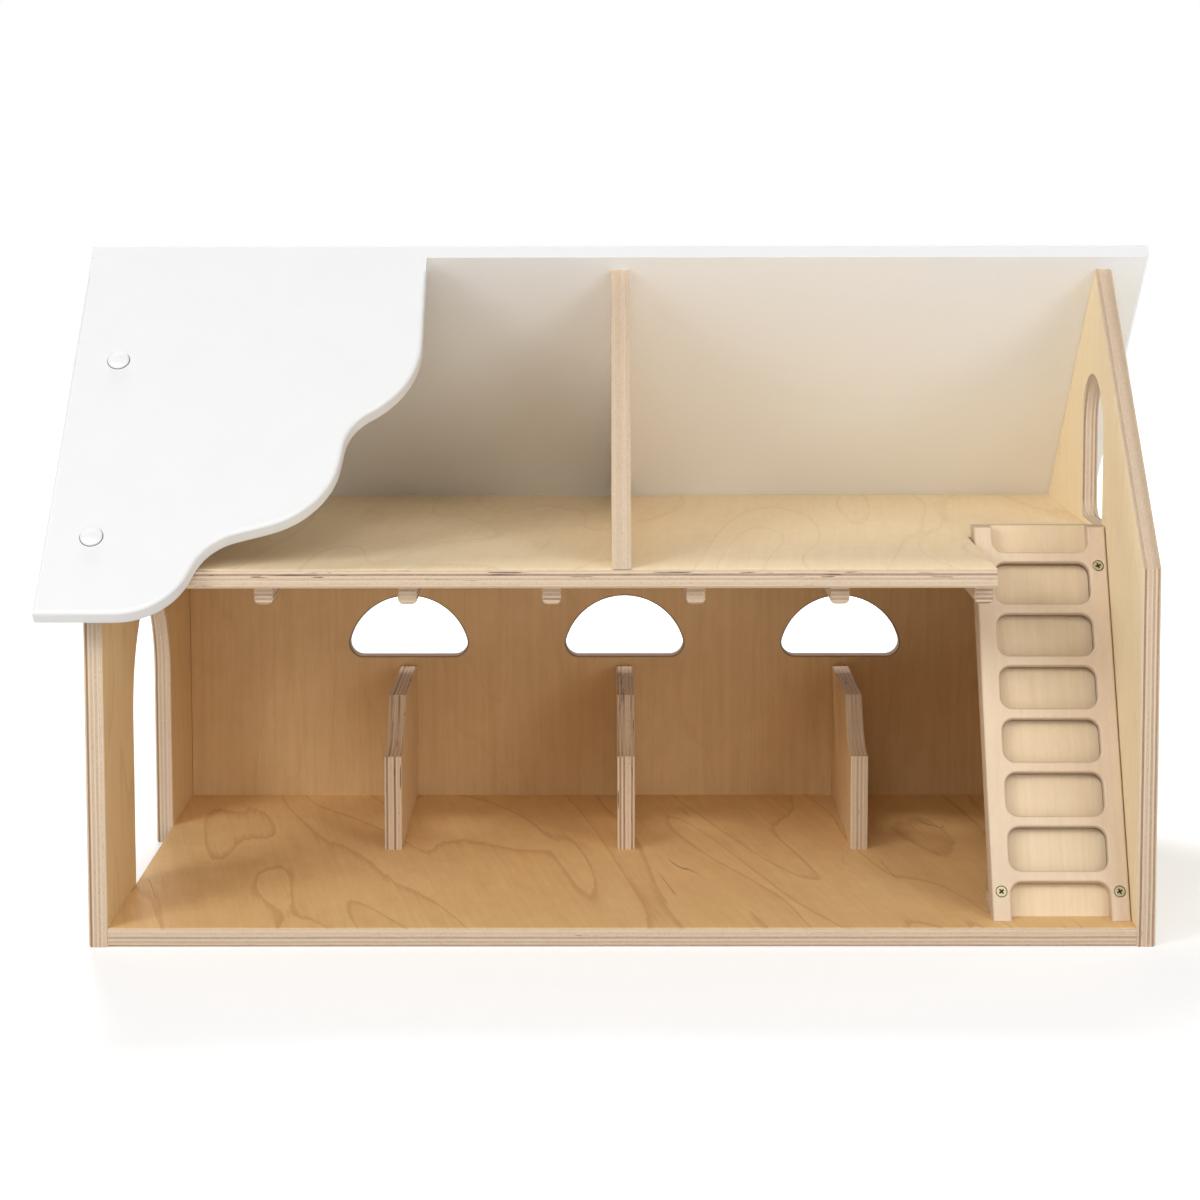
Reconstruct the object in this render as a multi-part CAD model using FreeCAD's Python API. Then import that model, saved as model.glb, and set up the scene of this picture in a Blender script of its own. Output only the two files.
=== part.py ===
import FreeCAD, Part
import math
import os

# Plywood toy barn, millimetres. X runs along the ridge, the open front faces -Y, Z is up.
# The origin lies on the ground under the ridge, midway between the gables.

Vector = FreeCAD.Vector

# Body
ply = 12.0                      # every wall, floor, divider, beam and roof board
body_width = 660.0              # over the outer faces of the gables
body_depth = 350.0              # front edge to back edge of a gable
eave_height = 236.0             # upright edges of a gable; the loft's top is level with them
outer_round = 2.5               # rounding of the edges that a hand meets
inner_round = 1.0               # rounding of the sheltered edges

# Roof
roof_pitch = 45.0               # both slopes, degrees
gable_overhang = 23.0           # along the ridge, past the outer face of each gable
eave_overhang = 40.5            # along the slope, past the gable's eave corner
roof_screw_inset = 16.0         # along the slope, from the eave corner up to the lower screw
roof_screw_spacing = 141.5      # from the lower screw up to the upper one
wave = [                        # corners of the wavy edge: from the left end, up from the eave, radius
    (224.0, 176.5, 70.0),
    (180.6, 146.5, 37.0),
    (172.4, 77.4, 60.0),
    (99.2, 54.0, 37.0),
    (79.8, 0.0, 45.0),
]
wave_run = 0.06                 # least straight run between two bends of the wavy edge

# Doorway in the left gable, loft door in the right one
doorway_width = 147.0
doorway_spring = 122.0          # height at which the arch starts
loft_door_width = 78.0
loft_door_height = 100.0
loft_door_sill = 4.0            # above the loft's top
loft_door_corner = 12.0         # radius of its lower corners

# Row of stalls and the windows above them
stall_pitch = 160.0
stall_shift = 4.0               # the row stands this far right of the middle
window_radius = 45.0
window_sill = 117.0
window_corner = 10.0            # radius of the two lower corners
divider_depth = 154.0
divider_front = 65.0            # height of the low front
divider_rise = 33.0             # further height of the level back part
divider_cove = 47.0             # depth over which the cove climbs between them

# Ceiling beams
beam_count = 6
beam_wall_gap = 91.3            # left gable to the first beam
beam_notch_gap = 0.2            # last beam to the loft's notch for the ladder
beam_setback = 14.0             # beam ends, behind the loft's front edge
beam_round = 3.5                # lower edges

# Ladder
ladder_width = 86.0
ladder_lean = 24.9              # from upright, degrees
ladder_foot = 14.0              # front of the foot, behind the floor's front edge
ladder_rise = 8.0               # top of the ladder above the loft
ladder_frame_thickness = 9.0
ladder_back_thickness = 6.0
ladder_side_gap = 0.5           # to the right gable
ladder_notch_gap = 2.0          # to the loft's notch, at the left
stile_width = 12.0
rung_first = 28.0               # middle of the lowest rung, along the ladder
rung_pitch = 34.6
rung_width = 7.0
pocket_corner = 7.5
ladder_round = 2.0              # front edges of the frame and its windows
cleat_height = 25.0
cleat_base = 18.0               # width of the foot cleat on the floor
cleat_grip = 14.0               # width of the top cleat under the loft, behind the notch

# Screws, caps and dowels
screw_head_radius = 3.2
screw_shank_radius = 1.7
screw_point = 4.0               # length of the tapered point
drive_width = 0.8               # arms of the cross recess
drive_span = 3.4
drive_depth = 1.4
ladder_screw_length = 25.0
ladder_screw_low = 18.5         # along the ladder, from the foot
ladder_screw_high = 26.0        # along the ladder, below the top
roof_screw_length = 40.0
cap_radius = 7.3
cap_height = 3.2
cap_rim = 0.7                   # upright edge below the dome
dowel_radius = 3.0
dowel_grip = 16.0               # length in the panel that is held
dowel_skin = 3.5                # wood left behind a blind hole
dowel_end_gap = 0.5             # glue room at each end of a dowel
dowel_inset = 50.0              # from a panel's corner to its nearest dowel
dowel_back_inset = 30.0         # from the back wall to the rear dowel of a divider
dowel_post_inset = 40.0         # from the top or bottom of the back wall to its side dowels
back_dowel_count = 4            # along the back wall, in its foot and in its top
ridge_dowel_count = 3
hole_fit = 0.1                  # radial room round dowels and screws

# Places that follow from the sizes above
half_width = body_width / 2
inner_half = half_width - ply
front = -body_depth / 2
back = body_depth / 2
back_inner = back - ply
loft_under = eave_height - ply
pitch = math.radians(roof_pitch)
apex_height = eave_height + back * math.tan(pitch)
slope_length = back / math.cos(pitch)
roof_length = body_width + 2 * gable_overhang
roof_half = roof_length / 2
cutter_margin = ply             # cutters reach this far past the wood that they cut
dowel_blind = ply - dowel_skin - dowel_end_gap

lean = math.radians(ladder_lean)
ladder_right = inner_half - ladder_side_gap
ladder_left = ladder_right - ladder_width
ladder_top = eave_height + ladder_rise
ladder_length = (ladder_top - ply) / math.cos(lean)
ladder_thickness = ladder_frame_thickness + ladder_back_thickness
notch_left = ladder_left - ladder_notch_gap

along_x = Vector(1, 0, 0)
along_y = Vector(0, 1, 0)
along_z = Vector(0, 0, 1)
tolerance = 1e-4


def spread(first, last, count):
    """Evenly spaced places from the first to the last."""
    return [first + (last - first) * step / (count - 1) for step in range(count)]


def box(x0, x1, y0, y1, z0, z1):
    return Part.makeBox(x1 - x0, y1 - y0, z1 - z0, Vector(x0, y0, z0))


def side_prism(profile, x0, x1):
    """Prism along X on a closed profile of (y, z) corners."""
    corners = [Vector(x0, y, z) for y, z in profile]
    face = Part.Face(Part.makePolygon(corners + corners[:1]))
    return face.extrude(Vector(x1 - x0, 0, 0))


def lies_at(edge, axis, value):
    return all(abs(getattr(point, axis) - value) < tolerance for point in edge.discretize(3))


def crosses_ply(edge):
    """Whether an edge only runs through the thickness of a panel."""
    return edge.Length < ply + tolerance


def rounded(shape, radius, chosen):
    """Rounds the edges of a shape that a test chooses."""
    return shape.makeFillet(radius, [edge for edge in shape.Edges if chosen(edge)])


def meeting_point(point_a, along_a, point_b, along_b):
    """Point where two lines in the (y, z) plane cross."""
    cross = along_a[0] * along_b[1] - along_a[1] * along_b[0]
    gap = (point_b[0] - point_a[0], point_b[1] - point_a[1])
    share = (gap[0] * along_b[1] - gap[1] * along_b[0]) / cross
    return (point_a[0] + share * along_a[0], point_a[1] + share * along_a[1])


def dowel(seat, into, spare=0.0, fit=0.0):
    """Dowel in a blind hole behind its seat, running on into the panel that it holds."""
    start = seat - into * (dowel_blind + spare)
    return Part.makeCylinder(dowel_radius + fit, dowel_blind + dowel_grip + 2 * spare, start, into)


def screw_form(length, fit=0.0):
    """Countersunk screw along +Z with its head flush at the origin."""
    shank = screw_shank_radius + fit
    head = screw_head_radius + fit
    profile = [(0, 0), (head, 0), (shank, head - shank), (shank, length - screw_point), (0, length + fit)]
    corners = [Vector(r, 0, z) for r, z in profile]
    face = Part.Face(Part.makePolygon(corners + corners[:1]))
    return face.revolve(Vector(0, 0, 0), along_z, 360)


def screw(length):
    arms = [
        box(-drive_span / 2, drive_span / 2, -drive_width / 2, drive_width / 2, 0, drive_depth),
        box(-drive_width / 2, drive_width / 2, -drive_span / 2, drive_span / 2, 0, drive_depth),
    ]
    return screw_form(length).cut(arms)


def cap_form():
    """Domed cap on a short upright rim, standing on the origin."""
    rise = cap_height - cap_rim
    sphere = (cap_radius ** 2 + rise ** 2) / (2 * rise)
    middle = math.asin(cap_radius / sphere) / 2
    crown = Vector(0, 0, cap_height)
    shoulder = Vector(cap_radius, 0, cap_rim)
    between = Vector(sphere * math.sin(middle), 0, cap_height - sphere * (1 - math.cos(middle)))
    outline = [
        Part.LineSegment(Vector(0, 0, 0), Vector(cap_radius, 0, 0)).toShape(),
        Part.LineSegment(Vector(cap_radius, 0, 0), shoulder).toShape(),
        Part.Arc(shoulder, between, crown).toShape(),
        Part.LineSegment(crown, Vector(0, 0, 0)).toShape(),
    ]
    return Part.Face(Part.Wire(outline)).revolve(Vector(0, 0, 0), along_z, 360)


def placed(shape, seat, along):
    """Copy of a shape made along +Z, standing at a seat and turned along a direction."""
    copy = shape.copy()
    copy.Placement = FreeCAD.Placement(seat, FreeCAD.Rotation(along_z, along))
    return copy


def arch_cutter(x0, x1, width, foot, spring):
    """Arched opening along X: upright sides from foot to spring, closed by a half circle."""
    half = width / 2
    near = Vector(x0, -half, spring)
    far = Vector(x0, half, spring)
    straight = Part.makePolygon([near, Vector(x0, -half, foot), Vector(x0, half, foot), far])
    arch = Part.Arc(far, Vector(x0, 0, spring + half), near)
    return Part.Face(Part.Wire(straight.Edges + [arch.toShape()])).extrude(Vector(x1 - x0, 0, 0))


def gable(inner, outer, opening):
    profile = [(front, 0), (back, 0), (back, eave_height), (0, apex_height), (front, eave_height)]
    panel = side_prism(profile, min(inner, outer), max(inner, outer)).cut(opening)
    panel = rounded(panel, outer_round, lambda edge: lies_at(edge, "x", outer))
    return rounded(panel, inner_round, lambda edge: lies_at(edge, "x", inner))


def left_gable():
    doorway = arch_cutter(-half_width, -inner_half, doorway_width, -ply, doorway_spring)
    return gable(-inner_half, -half_width, doorway)


def right_gable():
    sill = eave_height + loft_door_sill
    spring = sill + loft_door_height - loft_door_width / 2
    door = arch_cutter(inner_half, half_width, loft_door_width, sill, spring)
    door = rounded(door, loft_door_corner, lambda edge: lies_at(edge, "z", sill) and crosses_ply(edge))
    return gable(inner_half, half_width, door)


def front_edges_rounded(panel):
    return rounded(panel, outer_round, lambda edge: lies_at(edge, "y", front) and not crosses_ply(edge))


def floor_panel():
    return front_edges_rounded(box(-inner_half, inner_half, front, back_inner, 0, ply))


def stall_places():
    return [stall_shift + step * stall_pitch for step in (-1, 0, 1)]


def window_cutter(place):
    """Half moon standing on its sill, with rounded lower corners."""
    left = Vector(place - window_radius, back_inner, window_sill)
    right = Vector(place + window_radius, back_inner, window_sill)
    crown = Vector(place, back_inner, window_sill + window_radius)
    outline = Part.Wire([Part.LineSegment(left, right).toShape(), Part.Arc(right, crown, left).toShape()])
    moon = Part.Face(outline).extrude(Vector(0, ply, 0))
    return rounded(moon, window_corner, lambda edge: lies_at(edge, "z", window_sill) and crosses_ply(edge))


def back_wall():
    panel = box(-inner_half, inner_half, back_inner, back, 0, loft_under)
    panel = panel.cut([window_cutter(place) for place in stall_places()])

    def rims_window(edge):
        return edge.BoundBox.ZMin > tolerance and edge.BoundBox.ZMax < loft_under - tolerance

    return rounded(panel, inner_round, rims_window)


def ladder_back_at(height):
    """Y of the ladder's rear face at a height."""
    return front + ladder_foot + (height - ply) * math.tan(lean) + ladder_thickness / math.cos(lean)


def notch_end():
    """Y of the rear edge of the loft's notch, just behind the ladder."""
    return ladder_back_at(eave_height) + hole_fit


def loft_floor():
    panel = box(-inner_half, inner_half, front, back, loft_under, eave_height)
    panel = panel.cut(box(notch_left, inner_half, front, notch_end(), loft_under, eave_height))
    return front_edges_rounded(panel)


def loft_partition():
    tail_height = eave_height + ply * math.tan(pitch)
    profile = [(front, eave_height), (back_inner, eave_height), (back_inner, tail_height), (0, apex_height)]
    panel = side_prism(profile, -ply / 2, ply / 2)

    def slopes_in_front(edge):
        return edge.BoundBox.YMax < tolerance and not crosses_ply(edge)

    return rounded(panel, inner_round, slopes_in_front)


def stall_divider(place):
    """Low front, a cove that starts level and climbs, then a level top back to the wall."""
    low = ply + divider_front
    high = low + divider_rise
    nose = back_inner - divider_depth
    cove_radius = (divider_cove ** 2 + divider_rise ** 2) / (2 * divider_rise)
    middle = math.asin(min(1.0, divider_cove / cove_radius)) / 2
    x0 = place - ply / 2
    cove = Part.Arc(
        Vector(x0, nose, low),
        Vector(x0, nose + cove_radius * math.sin(middle), low + cove_radius * (1 - math.cos(middle))),
        Vector(x0, nose + divider_cove, high),
    )
    corners = [(nose + divider_cove, high), (back_inner, high), (back_inner, ply), (nose, ply), (nose, low)]
    straight = Part.makePolygon([Vector(x0, y, z) for y, z in corners])
    panel = Part.Face(Part.Wire([cove.toShape()] + straight.Edges)).extrude(Vector(ply, 0, 0))

    def meets_nothing(edge):
        return edge.BoundBox.ZMax > ply + tolerance and edge.BoundBox.YMin < back_inner - tolerance

    return rounded(panel, inner_round, meets_nothing)


def ceiling_beam(place):
    under = loft_under - ply
    beam = box(place - ply / 2, place + ply / 2, front + beam_setback, back_inner, under, loft_under)
    return rounded(beam, beam_round, lambda edge: lies_at(edge, "z", under) and not crosses_ply(edge))


def beam_places():
    """Middles of the beams, from beside the left gable to beside the loft's notch."""
    first = -inner_half + beam_wall_gap + ply / 2
    last = notch_left - beam_notch_gap - ply / 2
    return spread(first, last, beam_count)


# Roof section in the (y, z) plane: apex, ridge corners and eave corners
apex = (0.0, apex_height)
down_front = (-math.cos(pitch), -math.sin(pitch))
down_back = (math.cos(pitch), -math.sin(pitch))
out_front = (-math.sin(pitch), math.cos(pitch))
out_back = (math.sin(pitch), math.cos(pitch))
eave_run = slope_length + eave_overhang


def from_apex(down, run, out, lift):
    return (apex[0] + down[0] * run + out[0] * lift, apex[1] + down[1] * run + out[1] * lift)


def run_and_lift(point, down, out):
    """How far a point lies down a slope from the apex, and how far above the board's underside."""
    gap = (point.y - apex[0], point.z - apex[1])
    return (gap[0] * down[0] + gap[1] * down[1], gap[0] * out[0] + gap[1] * out[1])


front_skin = from_apex(down_front, 0, out_front, ply)
back_skin = from_apex(down_back, 0, out_back, ply)
ridge_lap = meeting_point(front_skin, down_front, apex, down_back)
ridge = meeting_point(front_skin, down_front, back_skin, down_back)


def rear_roof():
    """Full-length board; its square upper end laps over the front board, flush with its top."""
    profile = [
        ridge_lap,
        ridge,
        from_apex(down_back, eave_run, out_back, ply),
        from_apex(down_back, eave_run, out_back, 0),
    ]
    board = side_prism(profile, -roof_half, roof_half)

    def laps_front_board(edge):
        return lies_at(edge, "y", ridge_lap[0]) and lies_at(edge, "z", ridge_lap[1])

    return rounded(board, outer_round, lambda edge: not laps_front_board(edge))


def rounded_path(corners):
    """Edges of a path through (across, up, radius) corners, each rounded by a tangent arc."""
    points = [Vector(across, up, 0) for across, up, radius in corners]
    reach = [0.0] * len(points)
    bends = [None] * len(points)
    for i in range(1, len(points) - 1):
        before = (points[i - 1] - points[i]).normalize()
        after = (points[i + 1] - points[i]).normalize()
        bends[i] = (before, after)
        reach[i] = corners[i][2] / math.tan(before.getAngle(after) / 2)
    for i in range(len(points) - 1):
        room = (points[i + 1] - points[i]).Length - wave_run
        squeeze = min(1.0, room / max(reach[i] + reach[i + 1], tolerance))
        reach[i] *= squeeze
        reach[i + 1] *= squeeze
    edges = []
    last = points[0]
    for i in range(1, len(points) - 1):
        before, after = bends[i]
        start = points[i] + before * reach[i]
        end = points[i] + after * reach[i]
        half_angle = before.getAngle(after) / 2
        radius = reach[i] * math.tan(half_angle)
        bisector = (before + after).normalize()
        crest = points[i] + bisector * (radius / math.sin(half_angle) - radius)
        edges.append(Part.LineSegment(last, start).toShape())
        edges.append(Part.Arc(start, crest, end).toShape())
        last = end
    edges.append(Part.LineSegment(last, points[-1]).toShape())
    return edges


def on_front_roof(shape):
    """Moves a shape drawn flat (across, up, out of the board) onto the front roof's underside."""
    eave = from_apex(down_front, eave_run, out_front, 0)
    copy = shape.copy()
    turn = FreeCAD.Rotation(along_x, roof_pitch)
    copy.Placement = FreeCAD.Placement(Vector(-roof_half, eave[0], eave[1]), turn)
    return copy


def front_roof():
    """Left part of the front slope; the wavy edge steps down from the ridge to the eave."""
    profile = [
        apex,
        ridge_lap,
        from_apex(down_front, eave_run, out_front, ply),
        from_apex(down_front, eave_run, out_front, 0),
    ]
    board = side_prism(profile, -roof_half, roof_half)
    start = wave[0][0]
    over = eave_run + ply + cutter_margin
    under = -cutter_margin
    far = roof_length + cutter_margin
    edges = rounded_path([(start, over, 0.0)] + wave + [(0.0, 0.0, 0.0)])
    way_round = [(0.0, 0.0), (under, 0.0), (under, under), (far, under), (far, over), (start, over)]
    edges += Part.makePolygon([Vector(across, up, 0) for across, up in way_round]).Edges
    offcut = Part.Face(Part.Wire(edges)).extrude(Vector(0, 0, ply + 2 * cutter_margin))
    offcut.translate(Vector(0, 0, -cutter_margin))
    board = board.cut(on_front_roof(offcut))

    def rims_board(edge):
        run, lift = run_and_lift(edge.CenterOfMass, down_front, out_front)
        return run > ply and (lift < tolerance or lift > ply - tolerance)

    return rounded(board, outer_round, rims_board)


def ladder_placed(shape):
    """Moves a shape drawn flat (across, up, towards the front) to the leaning ladder."""
    copy = shape.copy()
    turn = FreeCAD.Rotation(along_x, 90 - ladder_lean)
    copy.Placement = FreeCAD.Placement(Vector(ladder_left, front + ladder_foot, ply), turn)
    return copy


def cut_level(shape):
    """Trims the ladder level with the floor and level at its top."""
    return shape.common(box(-half_width, half_width, front, back, ply, ladder_top))


def rung_middles():
    count = int((ladder_length - rung_first) / rung_pitch) + 1
    return [rung_first + step * rung_pitch for step in range(count)]


def ladder_pockets():
    """Windows between the rungs, with open ones below the first rung and above the last."""
    ends = [-rung_pitch] + rung_middles() + [ladder_length + rung_pitch]
    left = stile_width
    right = ladder_width - stile_width
    half_rung = rung_width / 2
    pockets = []
    for lower, upper in zip(ends, ends[1:]):
        pocket = box(left, right, lower + half_rung, upper - half_rung, -ladder_frame_thickness, 0)
        pockets.append(rounded(pocket, pocket_corner, goes_through_frame))
    return pockets


def goes_through_frame(edge):
    """Whether an edge runs square through the ladder's frame, drawn flat."""
    return edge.BoundBox.ZLength > ladder_frame_thickness - tolerance


def ladder_blank(rear, face):
    """Board of the ladder's width, drawn flat and long enough to be cut level at its top."""
    return box(0, ladder_width, 0, ladder_length + ladder_thickness, rear, face)


def ladder_frame():
    frame = ladder_blank(-ladder_frame_thickness, 0).cut(ladder_pockets())
    frame = rounded(frame, ladder_round, lambda edge: lies_at(edge, "z", 0))
    return cut_level(ladder_placed(frame))


def ladder_back():
    return cut_level(ladder_placed(ladder_blank(-ladder_thickness, -ladder_frame_thickness)))


def ladder_foot_cleat():
    low = ladder_back_at(ply)
    top = ply + cleat_height
    profile = [(low, ply), (low + cleat_base, ply), (low + cleat_base, top), (ladder_back_at(top), top)]
    return side_prism(profile, ladder_left, ladder_right)


def ladder_top_cleat():
    rear = notch_end() + cleat_grip
    low = loft_under - cleat_height
    behind_ladder = [(ladder_back_at(low), low), (ladder_back_at(loft_under), loft_under)]
    return side_prism(behind_ladder + [(rear, loft_under), (rear, low)], ladder_left, ladder_right)


def ladder_screw_seats():
    """Seats on the ladder's front face, in the middle of each stile near both ends."""
    seats = []
    foot = front + ladder_foot
    for x in (ladder_left + stile_width / 2, ladder_right - stile_width / 2):
        for up in (ladder_screw_low, ladder_length - ladder_screw_high):
            seats.append(Vector(x, foot + up * math.sin(lean), ply + up * math.cos(lean)))
    return seats


def roof_screw_seats(side, down, out):
    """Seats on a roof's top, over the middle of a gable's edge."""
    seats = []
    for up in (roof_screw_inset, roof_screw_inset + roof_screw_spacing):
        y, z = from_apex(down, slope_length - up, out, ply)
        seats.append(Vector(side * (half_width - ply / 2), y, z))
    return seats


def dowel_joints():
    """Seat and direction of every dowel, by the joint that it holds."""
    floor_seats = []
    loft_seats = []
    wall_seats = []
    for x, inward, loft_front in ((-inner_half, along_x, front), (inner_half, -along_x, notch_end())):
        for y in (front + dowel_inset, back_inner - dowel_inset):
            floor_seats.append((Vector(x, y, ply / 2), inward))
        for y in (loft_front + dowel_inset, back - dowel_inset):
            loft_seats.append((Vector(x, y, loft_under + ply / 2), inward))
        for z in (dowel_post_inset, loft_under - dowel_post_inset):
            wall_seats.append((Vector(x, back - ply / 2, z), inward))
    back_row_end = inner_half - dowel_inset
    for x in spread(-back_row_end, back_row_end, back_dowel_count):
        floor_seats.append((Vector(x, back_inner, ply / 2), -along_y))
        loft_seats.append((Vector(x, back - ply / 2, loft_under), -along_z))
    divider_seats = []
    for x in stall_places():
        for y in (back_inner - divider_depth + dowel_back_inset, back_inner - dowel_back_inset):
            divider_seats.append((Vector(x, y, ply), along_z))
    partition_row = (front + dowel_inset, back - dowel_inset)
    partition_seats = [(Vector(0, y, eave_height), along_z) for y in partition_row]
    ridge_seat = from_apex(down_front, 0, out_front, ply / 2)
    ridge_down = Vector(0, down_front[0], down_front[1])
    ridge_row = spread(dowel_inset, wave[0][0] - dowel_inset, ridge_dowel_count)
    ridge_seats = [(Vector(x - roof_half, *ridge_seat), ridge_down) for x in ridge_row]
    return {
        "floor_dowels": floor_seats,
        "loft_dowels": loft_seats,
        "back_wall_dowels": wall_seats,
        "divider_dowels": divider_seats,
        "partition_dowels": partition_seats,
        "ridge_dowels": ridge_seats,
    }


def wooden_parts():
    parts = {
        "left_gable": left_gable(),
        "right_gable": right_gable(),
        "floor_panel": floor_panel(),
        "back_wall": back_wall(),
        "loft_floor": loft_floor(),
        "loft_partition": loft_partition(),
        "rear_roof": rear_roof(),
        "front_roof": front_roof(),
        "ladder_frame": ladder_frame(),
        "ladder_back": ladder_back(),
        "ladder_foot_cleat": ladder_foot_cleat(),
        "ladder_top_cleat": ladder_top_cleat(),
    }
    for name, place in zip(("left", "middle", "right"), stall_places()):
        parts["stall_divider_" + name] = stall_divider(place)
    for number, place in enumerate(beam_places(), 1):
        parts[f"ceiling_beam_{number}"] = ceiling_beam(place)
    return parts


def fasteners():
    """Screws, caps and dowels, each kind as separate solids, and the holes that they need."""
    groups = {}
    holes = []
    for name, joints in dowel_joints().items():
        groups[name] = [dowel(seat, into) for seat, into in joints]
        holes += [dowel(seat, into, dowel_end_gap, hole_fit) for seat, into in joints]
    into_ladder = Vector(0, math.cos(lean), -math.sin(lean))
    into_front = Vector(0, -out_front[0], -out_front[1])
    into_back = Vector(0, -out_back[0], -out_back[1])
    front_seats = roof_screw_seats(-1, down_front, out_front)
    rear_seats = roof_screw_seats(-1, down_back, out_back) + roof_screw_seats(1, down_back, out_back)
    rows = [
        ("ladder_screws", ladder_screw_seats(), into_ladder, ladder_screw_length),
        ("front_roof_screws", front_seats, into_front, roof_screw_length),
        ("rear_roof_screws", rear_seats, into_back, roof_screw_length),
    ]
    for name, seats, into, length in rows:
        groups[name] = [placed(screw(length), seat, into) for seat in seats]
        holes += [placed(screw_form(length, hole_fit), seat, into) for seat in seats]
    groups["front_roof_caps"] = [placed(cap_form(), seat, -into_front) for seat in front_seats]
    groups["rear_roof_caps"] = [placed(cap_form(), seat, -into_back) for seat in rear_seats]
    return groups, holes


def main():
    os.makedirs("parts", exist_ok=True)
    groups, holes = fasteners()
    for name, panel in wooden_parts().items():
        bored = panel.cut([hole for hole in holes if panel.BoundBox.intersect(hole.BoundBox)])
        solids = bored.Solids
        print(name, "solids", len(solids), "volume", round(bored.Volume), "valid", bored.isValid())
        solids[0].exportStep(f"parts/{name}.step")
    for name, solids in groups.items():
        print(name, "solids", len(solids))
        Part.makeCompound(solids).exportStep(f"parts/{name}.step")


main()
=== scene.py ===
import bpy
import math
import numpy as np
from mathutils import Euler, Matrix, Vector, geometry


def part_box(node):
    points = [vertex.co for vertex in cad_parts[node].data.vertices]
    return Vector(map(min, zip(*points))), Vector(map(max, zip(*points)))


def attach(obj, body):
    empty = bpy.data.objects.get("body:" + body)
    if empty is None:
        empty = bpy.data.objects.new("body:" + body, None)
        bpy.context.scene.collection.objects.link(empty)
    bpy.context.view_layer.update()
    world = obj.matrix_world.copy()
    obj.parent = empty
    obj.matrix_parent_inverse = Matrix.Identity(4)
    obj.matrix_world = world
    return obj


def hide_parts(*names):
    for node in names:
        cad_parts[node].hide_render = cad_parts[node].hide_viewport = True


# Plywood toy barn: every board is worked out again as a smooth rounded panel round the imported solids.
# Lengths are in millimetres until a mesh is made, X runs along the ridge and the open front faces -Y.

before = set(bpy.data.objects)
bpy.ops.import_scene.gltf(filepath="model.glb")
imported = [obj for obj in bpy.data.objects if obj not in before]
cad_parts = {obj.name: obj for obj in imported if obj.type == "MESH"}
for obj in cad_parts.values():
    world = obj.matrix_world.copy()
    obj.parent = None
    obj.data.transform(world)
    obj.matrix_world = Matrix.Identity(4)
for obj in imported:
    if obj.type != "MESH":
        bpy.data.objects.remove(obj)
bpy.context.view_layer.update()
print("frame loaded,", len(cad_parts), "solids' nodes")

mm = 0.001
hair = 0.01                 # millimetres within which two places count as one
bodyName = "root"
recessMark = "recess"       # mesh attribute: how deep a point lies in a hole or a groove


def boxOf(node):
    # lowest and highest corner of a solid, in millimetres
    return [np.array(corner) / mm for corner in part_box(node)]


barn = {"ply": 12.0, "pitch": math.radians(45), "outerRound": 2.5, "innerRound": 1.0, "tightRound": 0.25}
ply = barn["ply"]
outerRound, innerRound, tightRound = barn["outerRound"], barn["innerRound"], barn["tightRound"]
axisX, axisY, axisZ = np.eye(3)
leftLow, leftHigh = boxOf("left_gable")
rightLow, rightHigh = boxOf("right_gable")
loftLow, loftHigh = boxOf("loft_floor")
wallLow, wallHigh = boxOf("back_wall")
front, back = leftLow[1], leftHigh[1]
eaveHeight = loftHigh[2]
apexHeight = eaveHeight + back * math.tan(barn["pitch"])


# Camera at the photograph's viewing angle

photoView = {
    "place": (-8.96, -1767.0, 490.9),
    "down": 5.074,      # degrees below level
    "turn": 0.148,      # degrees to the left
    "roll": -0.077,
    "lens": 79.06,
    "sensor": 36.0,
    "shiftY": -0.18,    # keeps uprights nearly upright
    "reach": 50.0,      # metres
}


def addCamera(view):
    # turn about the upright, then tip down, then roll about the line of sight
    camera = bpy.data.cameras.new("photoCamera")
    camera.lens = view["lens"]
    camera.sensor_width = view["sensor"]
    camera.shift_y = view["shiftY"]
    camera.clip_end = view["reach"]
    holder = bpy.data.objects.new("photoCamera", camera)
    tip = Euler((math.radians(90 - view["down"]), 0, math.radians(view["turn"]))).to_matrix()
    holder.rotation_euler = (tip @ Matrix.Rotation(math.radians(view["roll"]), 3, "Z")).to_euler()
    holder.location = Vector(view["place"]) * mm
    bpy.context.scene.collection.objects.link(holder)
    bpy.context.scene.camera = holder


addCamera(photoView)
print("camera set")


# Node helpers

def addNode(tree, kind, settings=None, feeds=None):
    # one node: its settings, then each input as a plain value or as the socket that feeds it
    node = tree.nodes.new(kind)
    for key, value in (settings or {}).items():
        setattr(node, key, value)
    for key, value in (feeds or {}).items():
        if isinstance(value, bpy.types.NodeSocket):
            tree.links.new(value, node.inputs[key])
        else:
            node.inputs[key].default_value = value
    return node


def calc(tree, operation, *terms):
    # one arithmetic step on numbers or sockets
    return addNode(tree, "ShaderNodeMath", {"operation": operation}, dict(enumerate(terms))).outputs[0]


def product(tree, first, *others):
    # all terms multiplied, one after the other
    for term in others:
        first = calc(tree, "MULTIPLY", first, term)
    return first


def swing(tree, value, size, middle=0.5):
    # distance from the middle, times the size
    return calc(tree, "MULTIPLY", calc(tree, "SUBTRACT", value, middle), size)


def within(tree, value, low=0.0, high=1.0):
    # the value, held between two limits
    return calc(tree, "MINIMUM", calc(tree, "MAXIMUM", value, low), high)


def vectorCalc(tree, operation, *terms):
    # one arithmetic step on vectors
    settings = {"operation": operation}
    return addNode(tree, "ShaderNodeVectorMath", settings, dict(enumerate(terms))).outputs[0]


def ramp(tree, value, low, high, start=0.0, end=1.0):
    # smooth step: start below low, end above high
    feeds = {"Value": value, "From Min": low, "From Max": high, "To Min": start, "To Max": end}
    return addNode(tree, "ShaderNodeMapRange", {"interpolation_type": "SMOOTHSTEP"}, feeds).outputs[0]


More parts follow.
